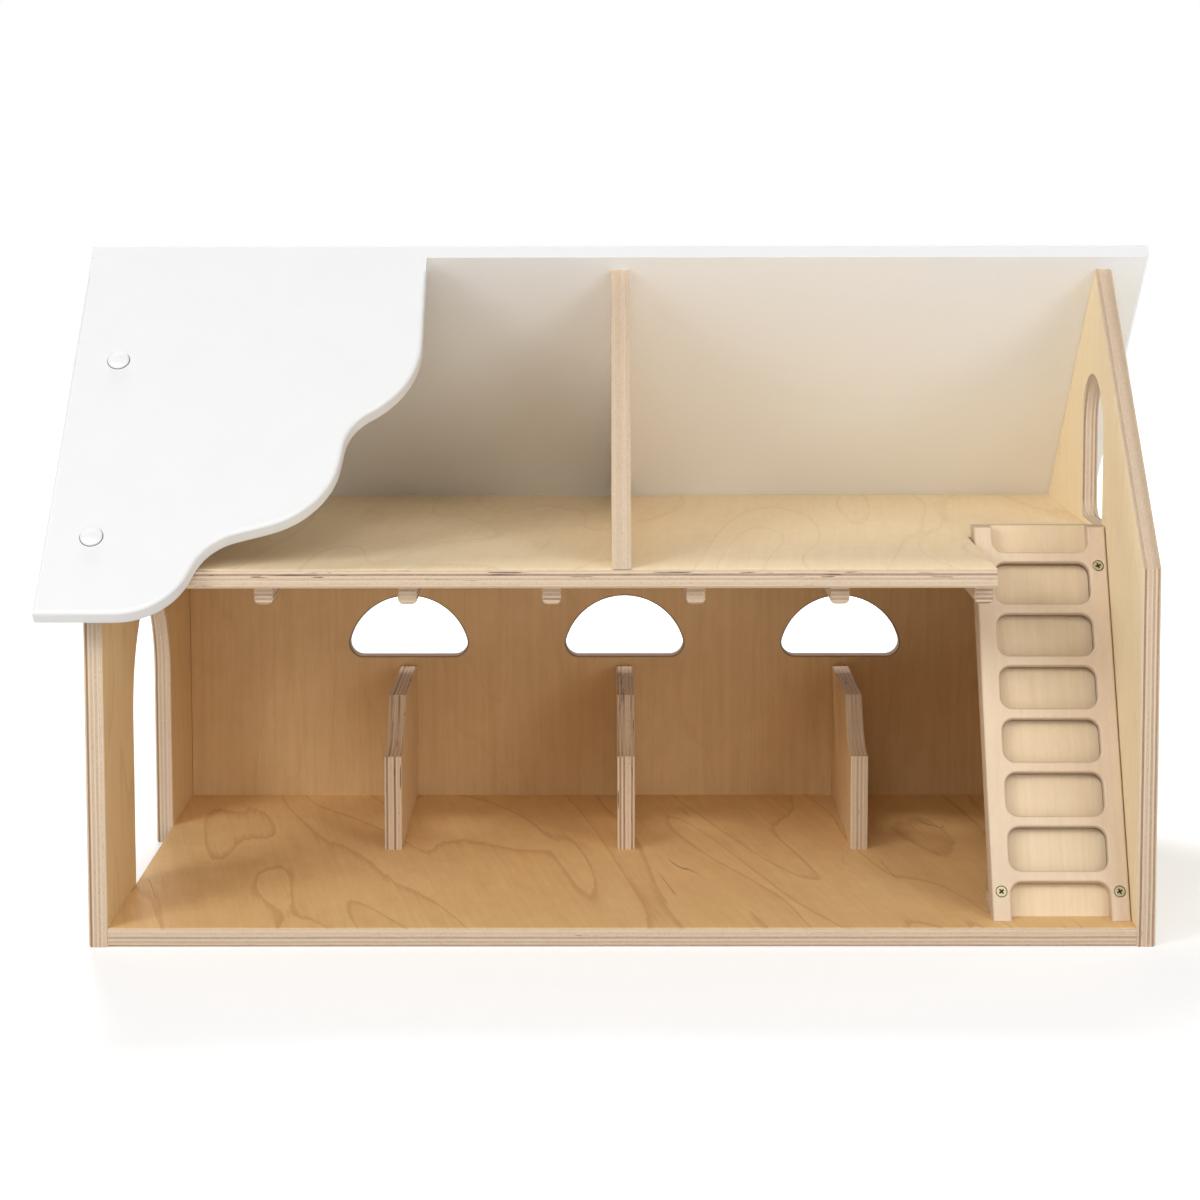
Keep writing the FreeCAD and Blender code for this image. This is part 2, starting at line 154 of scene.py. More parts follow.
def mixColour(tree, share, first, second):
    # the first colour at share 0, the second at share 1
    feeds = {0: share, 6: first, 7: second}
    return addNode(tree, "ShaderNodeMix", {"data_type": "RGBA"}, feeds).outputs[2]


def noise(tree, place, scale, detail=2.0, rough=0.5, bend=0.0):
    # soft random value round a half, over the place times the scale
    feeds = {"Vector": place, "Scale": scale, "Detail": detail, "Roughness": rough, "Distortion": bend}
    return addNode(tree, "ShaderNodeTexNoise", None, feeds).outputs[0]


def drawnNoise(tree, place, draw, detail=1.0, rough=0.5):
    # noise over a place that has its own scale along each axis
    return noise(tree, vectorCalc(tree, "MULTIPLY", place, draw), 1.0, detail, rough)


def recessOf(tree):
    # depth in a hole or a groove, from 0 to 1, as marked on the mesh
    return addNode(tree, "ShaderNodeAttribute", {"attribute_name": recessMark}).outputs["Fac"]


def newGroup(name, inputs, outputs):
    # shader group with its named sockets; gives the tree, its input sockets and its output node
    tree = bpy.data.node_groups.new(name, "ShaderNodeTree")
    for label, kind in inputs.items():
        tree.interface.new_socket(name=label, in_out="INPUT", socket_type="NodeSocket" + kind)
    for label, kind in outputs.items():
        tree.interface.new_socket(name=label, in_out="OUTPUT", socket_type="NodeSocket" + kind)
    return tree, tree.nodes.new("NodeGroupInput").outputs, tree.nodes.new("NodeGroupOutput").inputs


def newMaterial(name):
    # material with an empty node tree
    material = bpy.data.materials.new(name)
    material.use_nodes = True
    material.node_tree.nodes.clear()
    return material


def showSurface(tree, shader, kind="Material"):
    # the shader is what the material or the world shows
    addNode(tree, "ShaderNodeOutput" + kind, None, {"Surface": shader.outputs[0]})


def showCoat(tree, skin, colour, ripple, depth, finish):
    # surface with a skin group's roughness and bump; finish holds what is the same all over
    bump = addNode(tree, "ShaderNodeBump", None, {
        "Height": skin.outputs["Height"], "Strength": ripple, "Distance": depth})
    feeds = {"Base Color": colour, "Roughness": skin.outputs["Roughness"], "Normal": bump.outputs[0]}
    showSurface(tree, addNode(tree, "ShaderNodeBsdfPrincipled", None, {**feeds, **finish}))


skinOutputs = {"Color": "Color", "Roughness": "Float", "Height": "Float"}


# Birch plywood: nine veneers with crossed grain, which show as layers wherever a board is cut or rounded

plySkin = {
    "layers": 9, "skin": 0.01,                  # the outer layers reach past both faces
    "drift": (113.0, 71.0, 37.0),               # millimetres that the pattern moves with the seed
    "layerJump": (13.7, 5.1, 9.3),              # and from one layer to the next
    "wander": 0.35, "wanderScale": 0.02,        # millimetres that a glue line wanders up and down
    "glueWidth": (0.03, 0.13), "glueShade": 0.30,
    "edgeFacing": (0.36, 0.94), "scorchAndShadeFacing": (0.70, 0.97),   # squared facing, from cut edge to face
    "fibreStretch": 0.035,
    "fibreNoise": (1.3, 4.0, 0.65), "streakNoise": (0.22, 3.0, 0.6),    # scale, detail, roughness
    "ringDraw": (0.0028, 0.0115, 0.004), "ringNoise": (1.0, 1.0, 0.40, 0.30),   # and bend
    "ringCount": 7.0, "ringFray": 0.16,
    "lineRise": (0.88, 0.975), "lineFall": (0.98, 1.0), "lineShade": 0.32,
    "shimmerDraw": (0.05, 0.09, 0.05), "shimmerDetail": 2.0,
    "streakTone": 0.85, "fibreTone": 0.60, "shimmerTone": 0.6, "bandTone": 0.18, "toneLift": 0.25,
    "poreDraw": (0.28, 3.4, 0.28), "poreShare": (0.66, 0.74), "poreShade": 0.18,
    "crackDraw": (0.006, 0.040, 0.02), "crackWidth": (0.002, 0.007),
    "weakDraw": (0.009, 0.014, 0.02), "weakDetail": 0.0, "weakShare": (0.70, 0.74),
    "diceStep": 1.37, "dicePower": 2.2, "diceSpan": 0.85, "diceLow": 0.05,      # a layer's own brown
    "fibreBlotch": 0.55, "fibreMiddle": 0.45, "streakBlotch": 0.35,
    "speckleNoise": (0.9, 3.0, 0.7), "speckleShare": (0.50, 0.70), "speckleShade": 0.40,
    "voidDraw": (0.030, 0.030, 0.4), "voidNoise": (1.0, 3.0, 0.6), "voidChance": 0.26,
    "voidShare": (0.70, 0.76), "voidRim": (0.1, 0.3), "voidShade": 0.85,
    "roughLow": 0.40, "fibreRough": 0.16, "edgeRough": 0.12,
    "fibreRise": 0.5, "poreDip": 0.3, "voidDip": 1.5,
    "relief": 0.35, "reliefDepth": 0.00018, "specular": 0.4, "paintedShadeDepth": (0.25, 0.65),
    "longEdge": (0.680, 0.535, 0.385, 1),       # veneer cut along its grain
    "endEdge": (0.300, 0.175, 0.105, 1),        # veneer cut across its grain
    "glue": (0.300, 0.180, 0.105, 1),
    "gap": (0.085, 0.050, 0.030, 1),            # a void in an inner veneer
    # partly a cut browned by the saw, partly painted shade on cut edges such as the window rims
    "scorchAndShade": (0.170, 0.095, 0.055, 1),         # a cut browned by the saw
    "line": (0.420, 0.190, 0.070, 1),           # late wood at the end of a band
}


def birchPlyGroup(skin):
    # layer = whole part of depth over veneer thickness; odd layers turn their grain by a right angle
    inputs = {"Local": "Vector", "Facing": "Vector", "Seed": "Float", "Pale": "Color", "Honey": "Color",
              "Figure": "Float", "Figure Size": "Float", "Streaks": "Float",
              "Layering": "Float", "Voids": "Float", "Scorch And Shade": "Float", "Cracks": "Float"}
    tree, given, result = newGroup("birchPly", inputs, skinOutputs)
    drift = vectorCalc(tree, "MULTIPLY", given["Seed"], skin["drift"])
    place = vectorCalc(tree, "ADD", given["Local"], drift)
    depth = addNode(tree, "ShaderNodeSeparateXYZ", None, {0: given["Local"]}).outputs[2]
    wander = swing(tree, noise(tree, place, skin["wanderScale"]), skin["wander"] * 2)
    level = calc(tree, "DIVIDE", calc(tree, "ADD", depth, wander), ply / skin["layers"])
    level = within(tree, level, skin["skin"], skin["layers"] - skin["skin"])
    layer = calc(tree, "FLOOR", level)
    crossed = calc(tree, "MODULO", layer, 2.0)

    # glue lines where two veneers meet, not on the two outer faces
    nearest = calc(tree, "ROUND", level)
    glueGap = calc(tree, "ABSOLUTE", calc(tree, "SUBTRACT", level, nearest))
    inner = product(tree, calc(tree, "GREATER_THAN", nearest, 0.5),
                    calc(tree, "LESS_THAN", nearest, skin["layers"] - 0.5))
    glue = product(tree, ramp(tree, glueGap, *skin["glueWidth"], 1.0, 0.0), inner)

    # squared facing along the grain of the surface's own layer, and whether it is an edge at all
    turned = vectorCalc(tree, "MULTIPLY", given["Facing"], given["Facing"])
    faceX, faceY, faceZ = addNode(tree, "ShaderNodeSeparateXYZ", None, {0: turned}).outputs
    endShare = calc(tree, "ADD", product(tree, faceY, crossed),
                    product(tree, faceX, calc(tree, "SUBTRACT", 1.0, crossed)))
    edge = ramp(tree, faceZ, *skin["edgeFacing"], 1.0, 0.0)

    # fibres and broader streaks: noise drawn out along the grain of the layer
    thin = skin["fibreStretch"]
    stretch = addNode(tree, "ShaderNodeMix", {"data_type": "VECTOR"},
                      {0: crossed, 4: (thin, 1.0, 1.0), 5: (1.0, thin, 1.0)}).outputs[1]
    apart = vectorCalc(tree, "MULTIPLY", layer, skin["layerJump"])
    along = vectorCalc(tree, "ADD", vectorCalc(tree, "MULTIPLY", place, stretch), apart)
    fibre = noise(tree, along, *skin["fibreNoise"])
    streak = noise(tree, along, *skin["streakNoise"])

    # face veneer: contour bands of a slow wave, each darkening to a thin line, like peeled birch
    wide = vectorCalc(tree, "MULTIPLY", place, skin["ringDraw"])
    wide = vectorCalc(tree, "MULTIPLY", wide, given["Figure Size"])
    wave = product(tree, noise(tree, wide, *skin["ringNoise"]), skin["ringCount"])
    band = calc(tree, "FRACT", calc(tree, "ADD", wave, product(tree, streak, skin["ringFray"])))
    line = product(tree, ramp(tree, band, *skin["lineRise"]),
                   ramp(tree, band, *skin["lineFall"], 1.0, 0.0))
    fine = calc(tree, "ADD", swing(tree, streak, skin["streakTone"]),
                swing(tree, fibre, skin["fibreTone"]))
    shimmer = drawnNoise(tree, place, skin["shimmerDraw"], skin["shimmerDetail"])
    fine = calc(tree, "ADD", product(tree, fine, given["Streaks"]),
                swing(tree, shimmer, skin["shimmerTone"]))
    tone = calc(tree, "ADD", product(tree, band, skin["bandTone"], given["Figure"]), fine)
    tone = within(tree, calc(tree, "ADD", tone, skin["toneLift"]))
    face = mixColour(tree, tone, given["Pale"], given["Honey"])
    face = mixColour(tree, product(tree, line, skin["lineShade"], given["Figure"]), face, skin["line"])

    # short dark pores, and hairline cracks along the middle level of a noise where the veneer is weak
    pores = ramp(tree, drawnNoise(tree, place, skin["poreDraw"]), *skin["poreShare"])
    face = mixColour(tree, product(tree, pores, skin["poreShade"]), face, skin["glue"])
    split = calc(tree, "SUBTRACT", drawnNoise(tree, place, skin["crackDraw"]), 0.5)
    split = ramp(tree, calc(tree, "ABSOLUTE", split), *skin["crackWidth"], 1.0, 0.0)
    weak = ramp(tree, drawnNoise(tree, place, skin["weakDraw"], skin["weakDetail"]), *skin["weakShare"])
    face = mixColour(tree, product(tree, split, weak, given["Cracks"]), face, skin["gap"])

    # cut edge: pale along the grain, brown and speckled across it, every layer with a tone of its own
    number = calc(tree, "ADD", product(tree, layer, skin["diceStep"]), given["Seed"])
    dice = addNode(tree, "ShaderNodeTexWhiteNoise", {"noise_dimensions": "1D"}, {"W": number}).outputs[0]
    dice = product(tree, calc(tree, "POWER", dice, skin["dicePower"]), skin["diceSpan"])
    dice = calc(tree, "ADD", dice, skin["diceLow"])
    blotch = calc(tree, "ADD", swing(tree, fibre, skin["fibreBlotch"], skin["fibreMiddle"]),
                  swing(tree, streak, skin["streakBlotch"]))
    share = calc(tree, "ADD", product(tree, endShare, dice, given["Layering"]), blotch)
    cut = mixColour(tree, within(tree, share), skin["longEdge"], skin["endEdge"])
    speckle = ramp(tree, noise(tree, place, *skin["speckleNoise"]), *skin["speckleShare"])
    cut = mixColour(tree, product(tree, speckle, endShare, skin["speckleShade"]), cut, skin["glue"])
    cut = mixColour(tree, product(tree, glue, skin["glueShade"]), cut, skin["glue"])

    # ragged dark voids, most of them in the brown layers
    lies = vectorCalc(tree, "ADD", vectorCalc(tree, "MULTIPLY", place, skin["voidDraw"]), apart)
    chance = product(tree, given["Voids"], dice, skin["voidChance"])
    ragged = calc(tree, "ADD", noise(tree, lies, *skin["voidNoise"]), chance)
    hollow = ramp(tree, ragged, *skin["voidShare"])
    hollow = product(tree, hollow, ramp(tree, glueGap, *skin["voidRim"]), edge)
    cut = mixColour(tree, product(tree, hollow, skin["voidShade"]), cut, skin["gap"])

    # a browned cut, up to the start of its rounding: partly saw browning, partly painted shade
    charredAndShaded = product(tree, ramp(tree, faceZ, *skin["scorchAndShadeFacing"], 1.0, 0.0), given["Scorch And Shade"])
    colour = mixColour(tree, charredAndShaded, mixColour(tree, edge, face, cut), skin["scorchAndShade"])
    rough = calc(tree, "ADD", product(tree, fibre, skin["fibreRough"]),
                 product(tree, edge, skin["edgeRough"]))
    height = calc(tree, "SUBTRACT", product(tree, fibre, skin["fibreRise"]),
                  product(tree, pores, skin["poreDip"]))
    height = calc(tree, "SUBTRACT", height, product(tree, hollow, skin["voidDip"]))
    tree.links.new(colour, result["Color"])
    tree.links.new(calc(tree, "ADD", rough, skin["roughLow"]), result["Roughness"])
    tree.links.new(height, result["Height"])
    return tree


plyGroup = birchPlyGroup(plySkin)
plainLook = {"streaks": 0.8, "layering": 1.0, "voids": 0.0, "scorchAndShade": 0.0, "cracks": 0.0}


def plyMaterial(name, look):
    # the board's own axes: x along the face grain, y across it, z through the veneers from one face
    look = {**plainLook, **look}
    material = newMaterial(name)
    tree = material.node_tree
    grain = Vector(look["grain"]).normalized()
    through = Vector(look["through"]).normalized()
    turn = Matrix((grain, through.cross(grain), through))
    coords = addNode(tree, "ShaderNodeTexCoord").outputs
    local = addNode(tree, "ShaderNodeMapping", {"vector_type": "POINT"}, {
        "Vector": coords["Object"], "Location": turn @ -Vector(look["origin"]),
        "Rotation": turn.to_euler(), "Scale": (1 / mm,) * 3})
    facing = addNode(tree, "ShaderNodeMapping", {"vector_type": "VECTOR"}, {
        "Vector": coords["Normal"], "Rotation": turn.to_euler()})
    birch = addNode(tree, "ShaderNodeGroup", {"node_tree": plyGroup}, {
        "Local": local.outputs[0], "Facing": facing.outputs[0], "Seed": look["seed"],
        "Pale": look["pale"], "Honey": look["honey"],
        "Figure": look["figure"], "Figure Size": look["figureSize"],
        "Streaks": look["streaks"], "Layering": look["layering"], "Voids": look["voids"],
        "Scorch And Shade": look["scorchAndShade"], "Cracks": look["cracks"]})
    colour = birch.outputs["Color"]
    # painted shade: a dark colour deep in a hole, where the hole's own walls would shade it
    if "paintedShade" in look:      # colour deep in a hole
        colour = mixColour(tree, ramp(tree, recessOf(tree), *plySkin["paintedShadeDepth"]), colour, look["paintedShade"])
    showCoat(tree, birch, colour, plySkin["relief"], plySkin["reliefDepth"],
             {"Specular IOR Level": plySkin["specular"]})
    return material


# Paint, caps, screws and dowels share one fine mottle for colour, gloss and bump

mottle = {
    "slowNoise": (0.03, 3.0, 0.6), "fineDetail": 3.0, "fineRough": 0.55,
    "glossSwing": 0.18, "rippleDepth": 0.0002,
    "underFacing": (-0.3, -0.6),    # upward facing where the underside's colour starts and is full
}


def mottleGroup(skin):
    # two noises: a slow one for colour, a fine one for gloss and the skin's ripple
    inputs = {"Local": "Vector", "Light": "Color", "Dark": "Color", "Grain": "Float", "Gloss": "Float"}
    tree, given, result = newGroup("fineMottle", inputs, skinOutputs)
    slow = noise(tree, given["Local"], *skin["slowNoise"])
    fine = drawnNoise(tree, given["Local"], given["Grain"], skin["fineDetail"], skin["fineRough"])
    rough = calc(tree, "ADD", given["Gloss"], swing(tree, fine, skin["glossSwing"]))
    tree.links.new(mixColour(tree, slow, given["Light"], given["Dark"]), result["Color"])
    tree.links.new(rough, result["Roughness"])
    tree.links.new(fine, result["Height"])
    return tree


fineMottle = mottleGroup(mottle)


def mottledMaterial(name, look):
    # the fine mottle, with painted light on the underside or painted shade in recesses where the look
    # gives one
    material = newMaterial(name)
    tree = material.node_tree
    coords = addNode(tree, "ShaderNodeTexCoord").outputs
    local = addNode(tree, "ShaderNodeMapping", {"vector_type": "POINT"}, {
        "Vector": coords["Object"], "Scale": (1 / mm,) * 3})
    skin = addNode(tree, "ShaderNodeGroup", {"node_tree": fineMottle}, {
        "Local": local.outputs[0], "Light": look["light"], "Dark": look["dark"], "Grain": look["grain"],
        "Gloss": look["gloss"]})
    colour = skin.outputs["Color"]
    # painted light: faces turned downward take a lighter colour
    if "under" in look:
        facing = addNode(tree, "ShaderNodeSeparateXYZ", None, {0: coords["Normal"]}).outputs[2]
        colour = mixColour(tree, ramp(tree, facing, *mottle["underFacing"]), colour, look["under"])
    if "paintedShade" in look:
        colour = mixColour(tree, recessOf(tree), colour, look["paintedShade"])
    showCoat(tree, skin, colour, look["ripple"], mottle["rippleDepth"], {"Metallic": look["metal"]})
    return material


paint = {"light": (0.820, 0.820, 0.817, 1), "dark": (0.790, 0.790, 0.787, 1), "grain": 0.8, "gloss": 0.40,
         "ripple": 0.10, "metal": 0.0}
whitePaint = mottledMaterial("whitePaint", paint)
# the rear roof's underside is painted lighter and cooler than the paint, standing in for light that falls
# there
rearPaintLitUnderside = mottledMaterial("rearPaintLitUnderside", dict(paint, under=(0.915, 0.920, 0.925, 1)))
# caps: the dark recess colour is painted shade on the foot ring and rim round each cap
whiteCap = mottledMaterial("whiteCap", {
    "light": (0.820, 0.820, 0.818, 1), "dark": (0.790, 0.790, 0.790, 1), "grain": 0.5, "gloss": 0.22,
    "ripple": 0.03, "metal": 0.0, "paintedShade": (0.140, 0.140, 0.145, 1)})
# screws: the dark recess colour is painted shade in each head's cross
zincSteel = mottledMaterial("zincSteel", {
    "light": (0.400, 0.345, 0.215, 1), "dark": (0.290, 0.245, 0.150, 1), "grain": 2.5, "gloss": 0.42,
    "ripple": 0.15, "metal": 1.0, "paintedShade": (0.030, 0.025, 0.018, 1)})
beechDowel = mottledMaterial("beechDowel", {
    "light": (0.620, 0.430, 0.280, 1), "dark": (0.460, 0.290, 0.170, 1), "grain": 1.5, "gloss": 0.60,
    "ripple": 0.40, "metal": 0.0})
print("materials ready")


# Outlines and boards

def roundCorners(corners, leastRun=0.06, step=4.0):
    # closed outline of (across, up, radius) corners, each rounded by an arc that touches both its sides;
    # two arcs that would overlap on a side are drawn in alike
    corners = np.array(corners, float)
    spots, radius = corners[:, :2], corners[:, 2]
    ahead = np.roll(spots, -1, 0) - spots
    length = np.linalg.norm(ahead, axis=1)
    ahead = ahead / length[:, None]
    behind = -np.roll(ahead, 1, 0)
    half = np.arccos(np.clip(np.sum(ahead * behind, 1), -1, 1)) / 2
    reach = radius / np.tan(half)
    for i in range(len(spots)):
        after = (i + 1) % len(spots)
        squeeze = min(1.0, (length[i] - leastRun) / max(reach[i] + reach[after], 1e-9))
        reach[i] *= squeeze
        reach[after] *= squeeze
    pieces = []
    for i in range(len(spots)):
        if radius[i] == 0:
            pieces.append(spots[i:i + 1])
            continue
        bend = reach[i] * math.tan(half[i])
        inward = ahead[i] + behind[i]
        centre = spots[i] + inward / np.linalg.norm(inward) * bend / math.sin(half[i])
        arm = spots[i] + behind[i] * reach[i] - centre
        sweep = (math.pi - 2 * half[i]) * np.sign(behind[i, 1] * ahead[i, 0] - behind[i, 0] * ahead[i, 1])
        turns = np.linspace(0, sweep, max(3, int(math.degrees(abs(sweep)) / step) + 1))
        pieces.append(centre + np.outer(np.cos(turns), arm) + np.outer(np.sin(turns), (-arm[1], arm[0])))
    return np.vstack(pieces)


def circle(across, up, radius, count=28):
    # hole outline, clockwise so that the wood lies to its left
    turns = -np.linspace(0, 2 * math.pi, count, endpoint=False)
    return np.stack([across + radius * np.cos(turns), up + radius * np.sin(turns)], 1)


def sideMiddles(loop):
    # middle of each side, from a point to the next
    return (loop + np.roll(loop, -1, 0)) / 2


def insetAt(radius, height):
    # how far a quarter-round edge stands back at a height: r - sqrt(r^2 - (r - height)^2)
    rest = np.maximum(radius - height, 0)
    return radius - np.sqrt(np.maximum(radius ** 2 - rest ** 2, 0))


def edgeProfile(thickness, low, high, steps=5, guard=0.2):
    # quarter circle, upright, quarter circle; a guard row beside each arc keeps the flats flat.
    # gives the inset of every side (rows) at every profile height (columns), and those heights
    turns = np.linspace(0, math.pi / 2, steps + 1)
    rise = low.max() * (1 - np.cos(turns))
    fall = high.max() * (1 - np.cos(turns[::-1]))
    upright = [low.max() + guard, thickness - high.max() - guard]
    height = np.concatenate([[0], rise, upright, thickness - fall, [thickness]])
    inset = np.maximum(insetAt(low[:, None], height), insetAt(high[:, None], thickness - height))
    inset[:, [0, -1]] += guard
    return inset, height


def mitred(loop, inset, smoothest=0.9):
    # every side of the outline moves into the wood by its own inset: two sides then meet where their lines
    # cross, and along a straight or smooth run both keep to the lesser inset
    ahead = np.roll(loop, -1, 0) - loop
    ahead /= np.linalg.norm(ahead, axis=1, keepdims=True)
    left = np.stack([-ahead[:, 1], ahead[:, 0]], 1)
    before = np.roll(left, 1, 0)
    insetBefore = np.roll(inset, 1, 0)
    cosine = np.sum(before * left, 1)[:, None]
    smooth = cosine > smoothest
    sineSquared = np.where(smooth, 1.0, 1 - cosine ** 2)
    shared = np.minimum(inset, insetBefore) / (1 + cosine)
    shareBefore = np.where(smooth, shared, (insetBefore - cosine * inset) / sineSquared)
    shareAfter = np.where(smooth, shared, (inset - cosine * insetBefore) / sineSquared)
    moved = loop[:, None] + shareBefore[:, :, None] * before[:, None]
    return moved + shareAfter[:, :, None] * left[:, None]


def filledFace(spots, rims, low, nearest=1e-7):
    # triangles between an outer rim and the rims of its holes, facing down on the low face, up on the high
    own = np.concatenate(rims)
    sizes = np.cumsum([0] + [len(rim) for rim in rims])
    runs = [np.arange(start, end) for start, end in zip(sizes, sizes[1:])]
    edges = np.vstack([np.stack([run, np.roll(run, -1)], 1) for run in runs])
    flat = [Vector(spot) for spot in spots[own, :2].tolist()]
    filled = geometry.delaunay_2d_cdt(flat, edges.tolist(), [], 1, nearest)
    source = np.array([first[0] for first in filled[3]])[np.array(filled[2])]
    member = np.searchsorted(sizes, source, "right")
    inHole = (member[:, 0] > 1) & (member == member[:, :1]).all(1)      # every hole is convex
    caps = own[source[~inHole]]
    corner = spots[caps][:, :, :2]
    one, two = corner[:, 1] - corner[:, 0], corner[:, 2] - corner[:, 0]
    wrong = (one[:, 0] * two[:, 1] > one[:, 1] * two[:, 0]) == low
    caps[wrong] = caps[wrong][:, ::-1]
    return caps.tolist()


def boardShape(loops, thickness, lowRounds, highRounds):
    # the edge profile carried along every outline, and both faces filled between the outlines;
    # also how deep each point of a hole's wall lies below the high face, from 0 to 1
    spots, faces, lowRims, highRims, sunk = [], [], [], [], []
    start = 0
    for loop, low, high in zip(loops, lowRounds, highRounds):
        low = np.broadcast_to(np.asarray(low, float), len(loop))
        high = np.broadcast_to(np.asarray(high, float), len(loop))
        inset, height = edgeProfile(thickness, low, high)
        level = np.broadcast_to(height[None, :, None], inset.shape + (1,))
        spots.append(np.concatenate([mitred(loop, inset), level], 2).reshape(-1, 3))
        count, rows = inset.shape
        sunk.append(np.tile(1 - height / thickness, count) * (start > 0))
        index = start + np.arange(count * rows).reshape(count, rows)
        ring = np.roll(index, -1, 0)
        quads = np.stack([index[:, :-1], ring[:, :-1], ring[:, 1:], index[:, 1:]], 2)
        faces += quads.reshape(-1, 4).tolist()
        lowRims.append(index[:, 0])
        highRims.append(index[:, -1])
        start += count * rows
    spots = np.vstack(spots)
    faces += filledFace(spots, lowRims, True) + filledFace(spots, highRims, False)
    return spots, faces, np.concatenate(sunk)


def makePiece(name, spots, faces, material, nodes, sharp=32.0):
    # mesh in the shared frame, smooth but for its crisp corners, riding on the barn
    mesh = bpy.data.meshes.new(name)
    mesh.from_pydata((np.asarray(spots) * mm).tolist(), [], faces)
    mesh.validate()
    mesh.shade_smooth()
    mesh.set_sharp_from_angle(angle=math.radians(sharp))
    mesh.materials.append(material)
    piece = bpy.data.objects.new(name, mesh)
    bpy.context.scene.collection.objects.link(piece)
    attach(piece, bodyName)
    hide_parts(*nodes)
    return piece


def markRecess(piece, sunk, copies=1):
    # how far each point lies in a recess, from 0 to 1, kept on the mesh for the painted shade in recesses
    recess = piece.data.attributes.new(recessMark, "FLOAT", "POINT")
    recess.data.foreach_set("value", np.tile(sunk, copies).astype(np.float32))


def placeSpots(spots, origin, across, up):
    # from the board's own (across, up, out) to the shared frame; out is square to both
    axes = np.array([across, up, np.cross(across, up)], float)
    return np.asarray(spots) @ axes + np.asarray(origin, float)


def makeBoard(name, node, loops, rounds, origin, across, up, look, thickness=ply, bend=None):
    # one plywood board: outline, edge rounding (low face, high face) for each outline, place and finish
    lowRounds = [pair[0] for pair in rounds]
    highRounds = [pair[1] for pair in rounds]
    spots, faces, sunk = boardShape(loops, thickness, lowRounds, highRounds)
    if bend:
        spots = bend(spots)
    painted = isinstance(look, bpy.types.Material)
    material = look if painted else plyMaterial(name + "Birch", look)
    piece = makePiece(name, placeSpots(spots, origin, across, up), faces, material, [node])
    # points deep in a hole carry painted shade
    if not painted and "paintedShade" in look:
        markRecess(piece, sunk)


# Gables: pentagons, the left one cut by the doorway, the right one by the loft door

gables = {
    "doorway": 147.0, "spring": 122.0,
    "loftDoor": (78.0, 100.0), "sill": 4.0, "doorCorner": 12.0,
    "left": {"grain": axisZ, "through": axisX, "seed": 1.3, "figure": 0.5, "figureSize": 1.0,
             "layering": 1.4, "pale": (0.840, 0.625, 0.345, 1), "honey": (0.730, 0.510, 0.260, 1)},
    # the right gable's paler colours are partly its own tone, partly painted light for the light from the
    # left on its inner face
    "right": {"grain": axisZ, "through": axisX, "seed": 4.1, "figure": 0.25, "figureSize": 1.1,
              "pale": (0.950, 0.800, 0.540, 1), "honey": (0.885, 0.715, 0.450, 1)},
}


def makeGables(sizes):
    # walls up to the eaves, then both slopes to the apex; an opening's top is a half circle of its width
    half = sizes["doorway"] / 2
    crown = sizes["spring"] + half
    doorway = [(-half, 0, 0), (-half, crown, half), (half, crown, half), (half, 0, 0)]
    roofLine = [(back, 0, 0), (back, eaveHeight, 0), (0, apexHeight, 0), (front, eaveHeight, 0),
                (front, 0, 0)]
    origin = (leftLow[0], 0, 0)
    makeBoard("leftGable", "left_gable", [roundCorners(doorway + roofLine)], [(outerRound, innerRound)],
              origin, axisY, axisZ, dict(sizes["left"], origin=origin))
    wide, tall = sizes["loftDoor"]
    sill = eaveHeight + sizes["sill"]
    door = [(wide / 2, sill, sizes["doorCorner"]), (-wide / 2, sill, sizes["doorCorner"]),
            (-wide / 2, sill + tall, wide / 2), (wide / 2, sill + tall, wide / 2)]
    origin = (rightLow[0], 0, 0)
    makeBoard("rightGable", "right_gable", [roundCorners(roofLine), roundCorners(door)],
              [(innerRound, outerRound)] * 2, origin, axisY, axisZ, dict(sizes["right"], origin=origin))


makeGables(gables)
print("gables made")


# Ladder's sizes and place: it leans in the loft's notch, beside the right gable

ladder = {
    "width": 86.0, "sideGap": 0.5, "notchGap": 2.0, "lean": math.radians(24.9), "foot": 14.0, "rise": 8.0,
    "frame": 9.0, "back": 6.0, "stile": 12.0, "rungFirst": 28.0, "rungPitch": 34.6, "rung": 7.0,
    "corner": 7.5, "round": 1.7, "rearRound": 2.8, "rearRoundTop": 1.4, "endRound": 0.4,
    "endReach": 3.0,        # how near an end a point is cut level with it
    "screwLow": 18.5, "screwHigh": 26.0, "hole": 3.7, "holeRound": 0.02,
    "cleatHeight": 25.0, "cleatBase": 18.0, "cleatGrip": 14.0,
    # painted shade on the window walls next to the back board
    "paintedShade": (0.200, 0.120, 0.075, 1),
    "wood": {"seed": 3.3, "figure": 0.12, "figureSize": 1.4,
             "pale": (0.740, 0.585, 0.425, 1), "honey": (0.640, 0.480, 0.330, 1)},
    "board": {"seed": 8.8, "figure": 0.10, "figureSize": 1.6, "streaks": 1.1,
              "pale": (0.790, 0.625, 0.420, 1), "honey": (0.670, 0.500, 0.310, 1)},
}
ladder["left"] = rightLow[0] - ladder["sideGap"] - ladder["width"]
ladder["length"] = (eaveHeight + ladder["rise"] - ply) / math.cos(ladder["lean"])
ladderUp = np.array([0, math.sin(ladder["lean"]), math.cos(ladder["lean"])])
ladderOut = np.cross(axisX, ladderUp)
ladderSeat = np.array([ladder["left"], front + ladder["foot"], ply])


def ladderBackAt(height):
    # where the ladder's rear face stands at a height: foot, lean up to there and level thickness added up
    lean = ladder["lean"]
    thick = ladder["frame"] + ladder["back"]
    return front + ladder["foot"] + (height - ply) * math.tan(lean) + thick / math.cos(lean)


# Level boards: the floor and the loft with its notch for the ladder

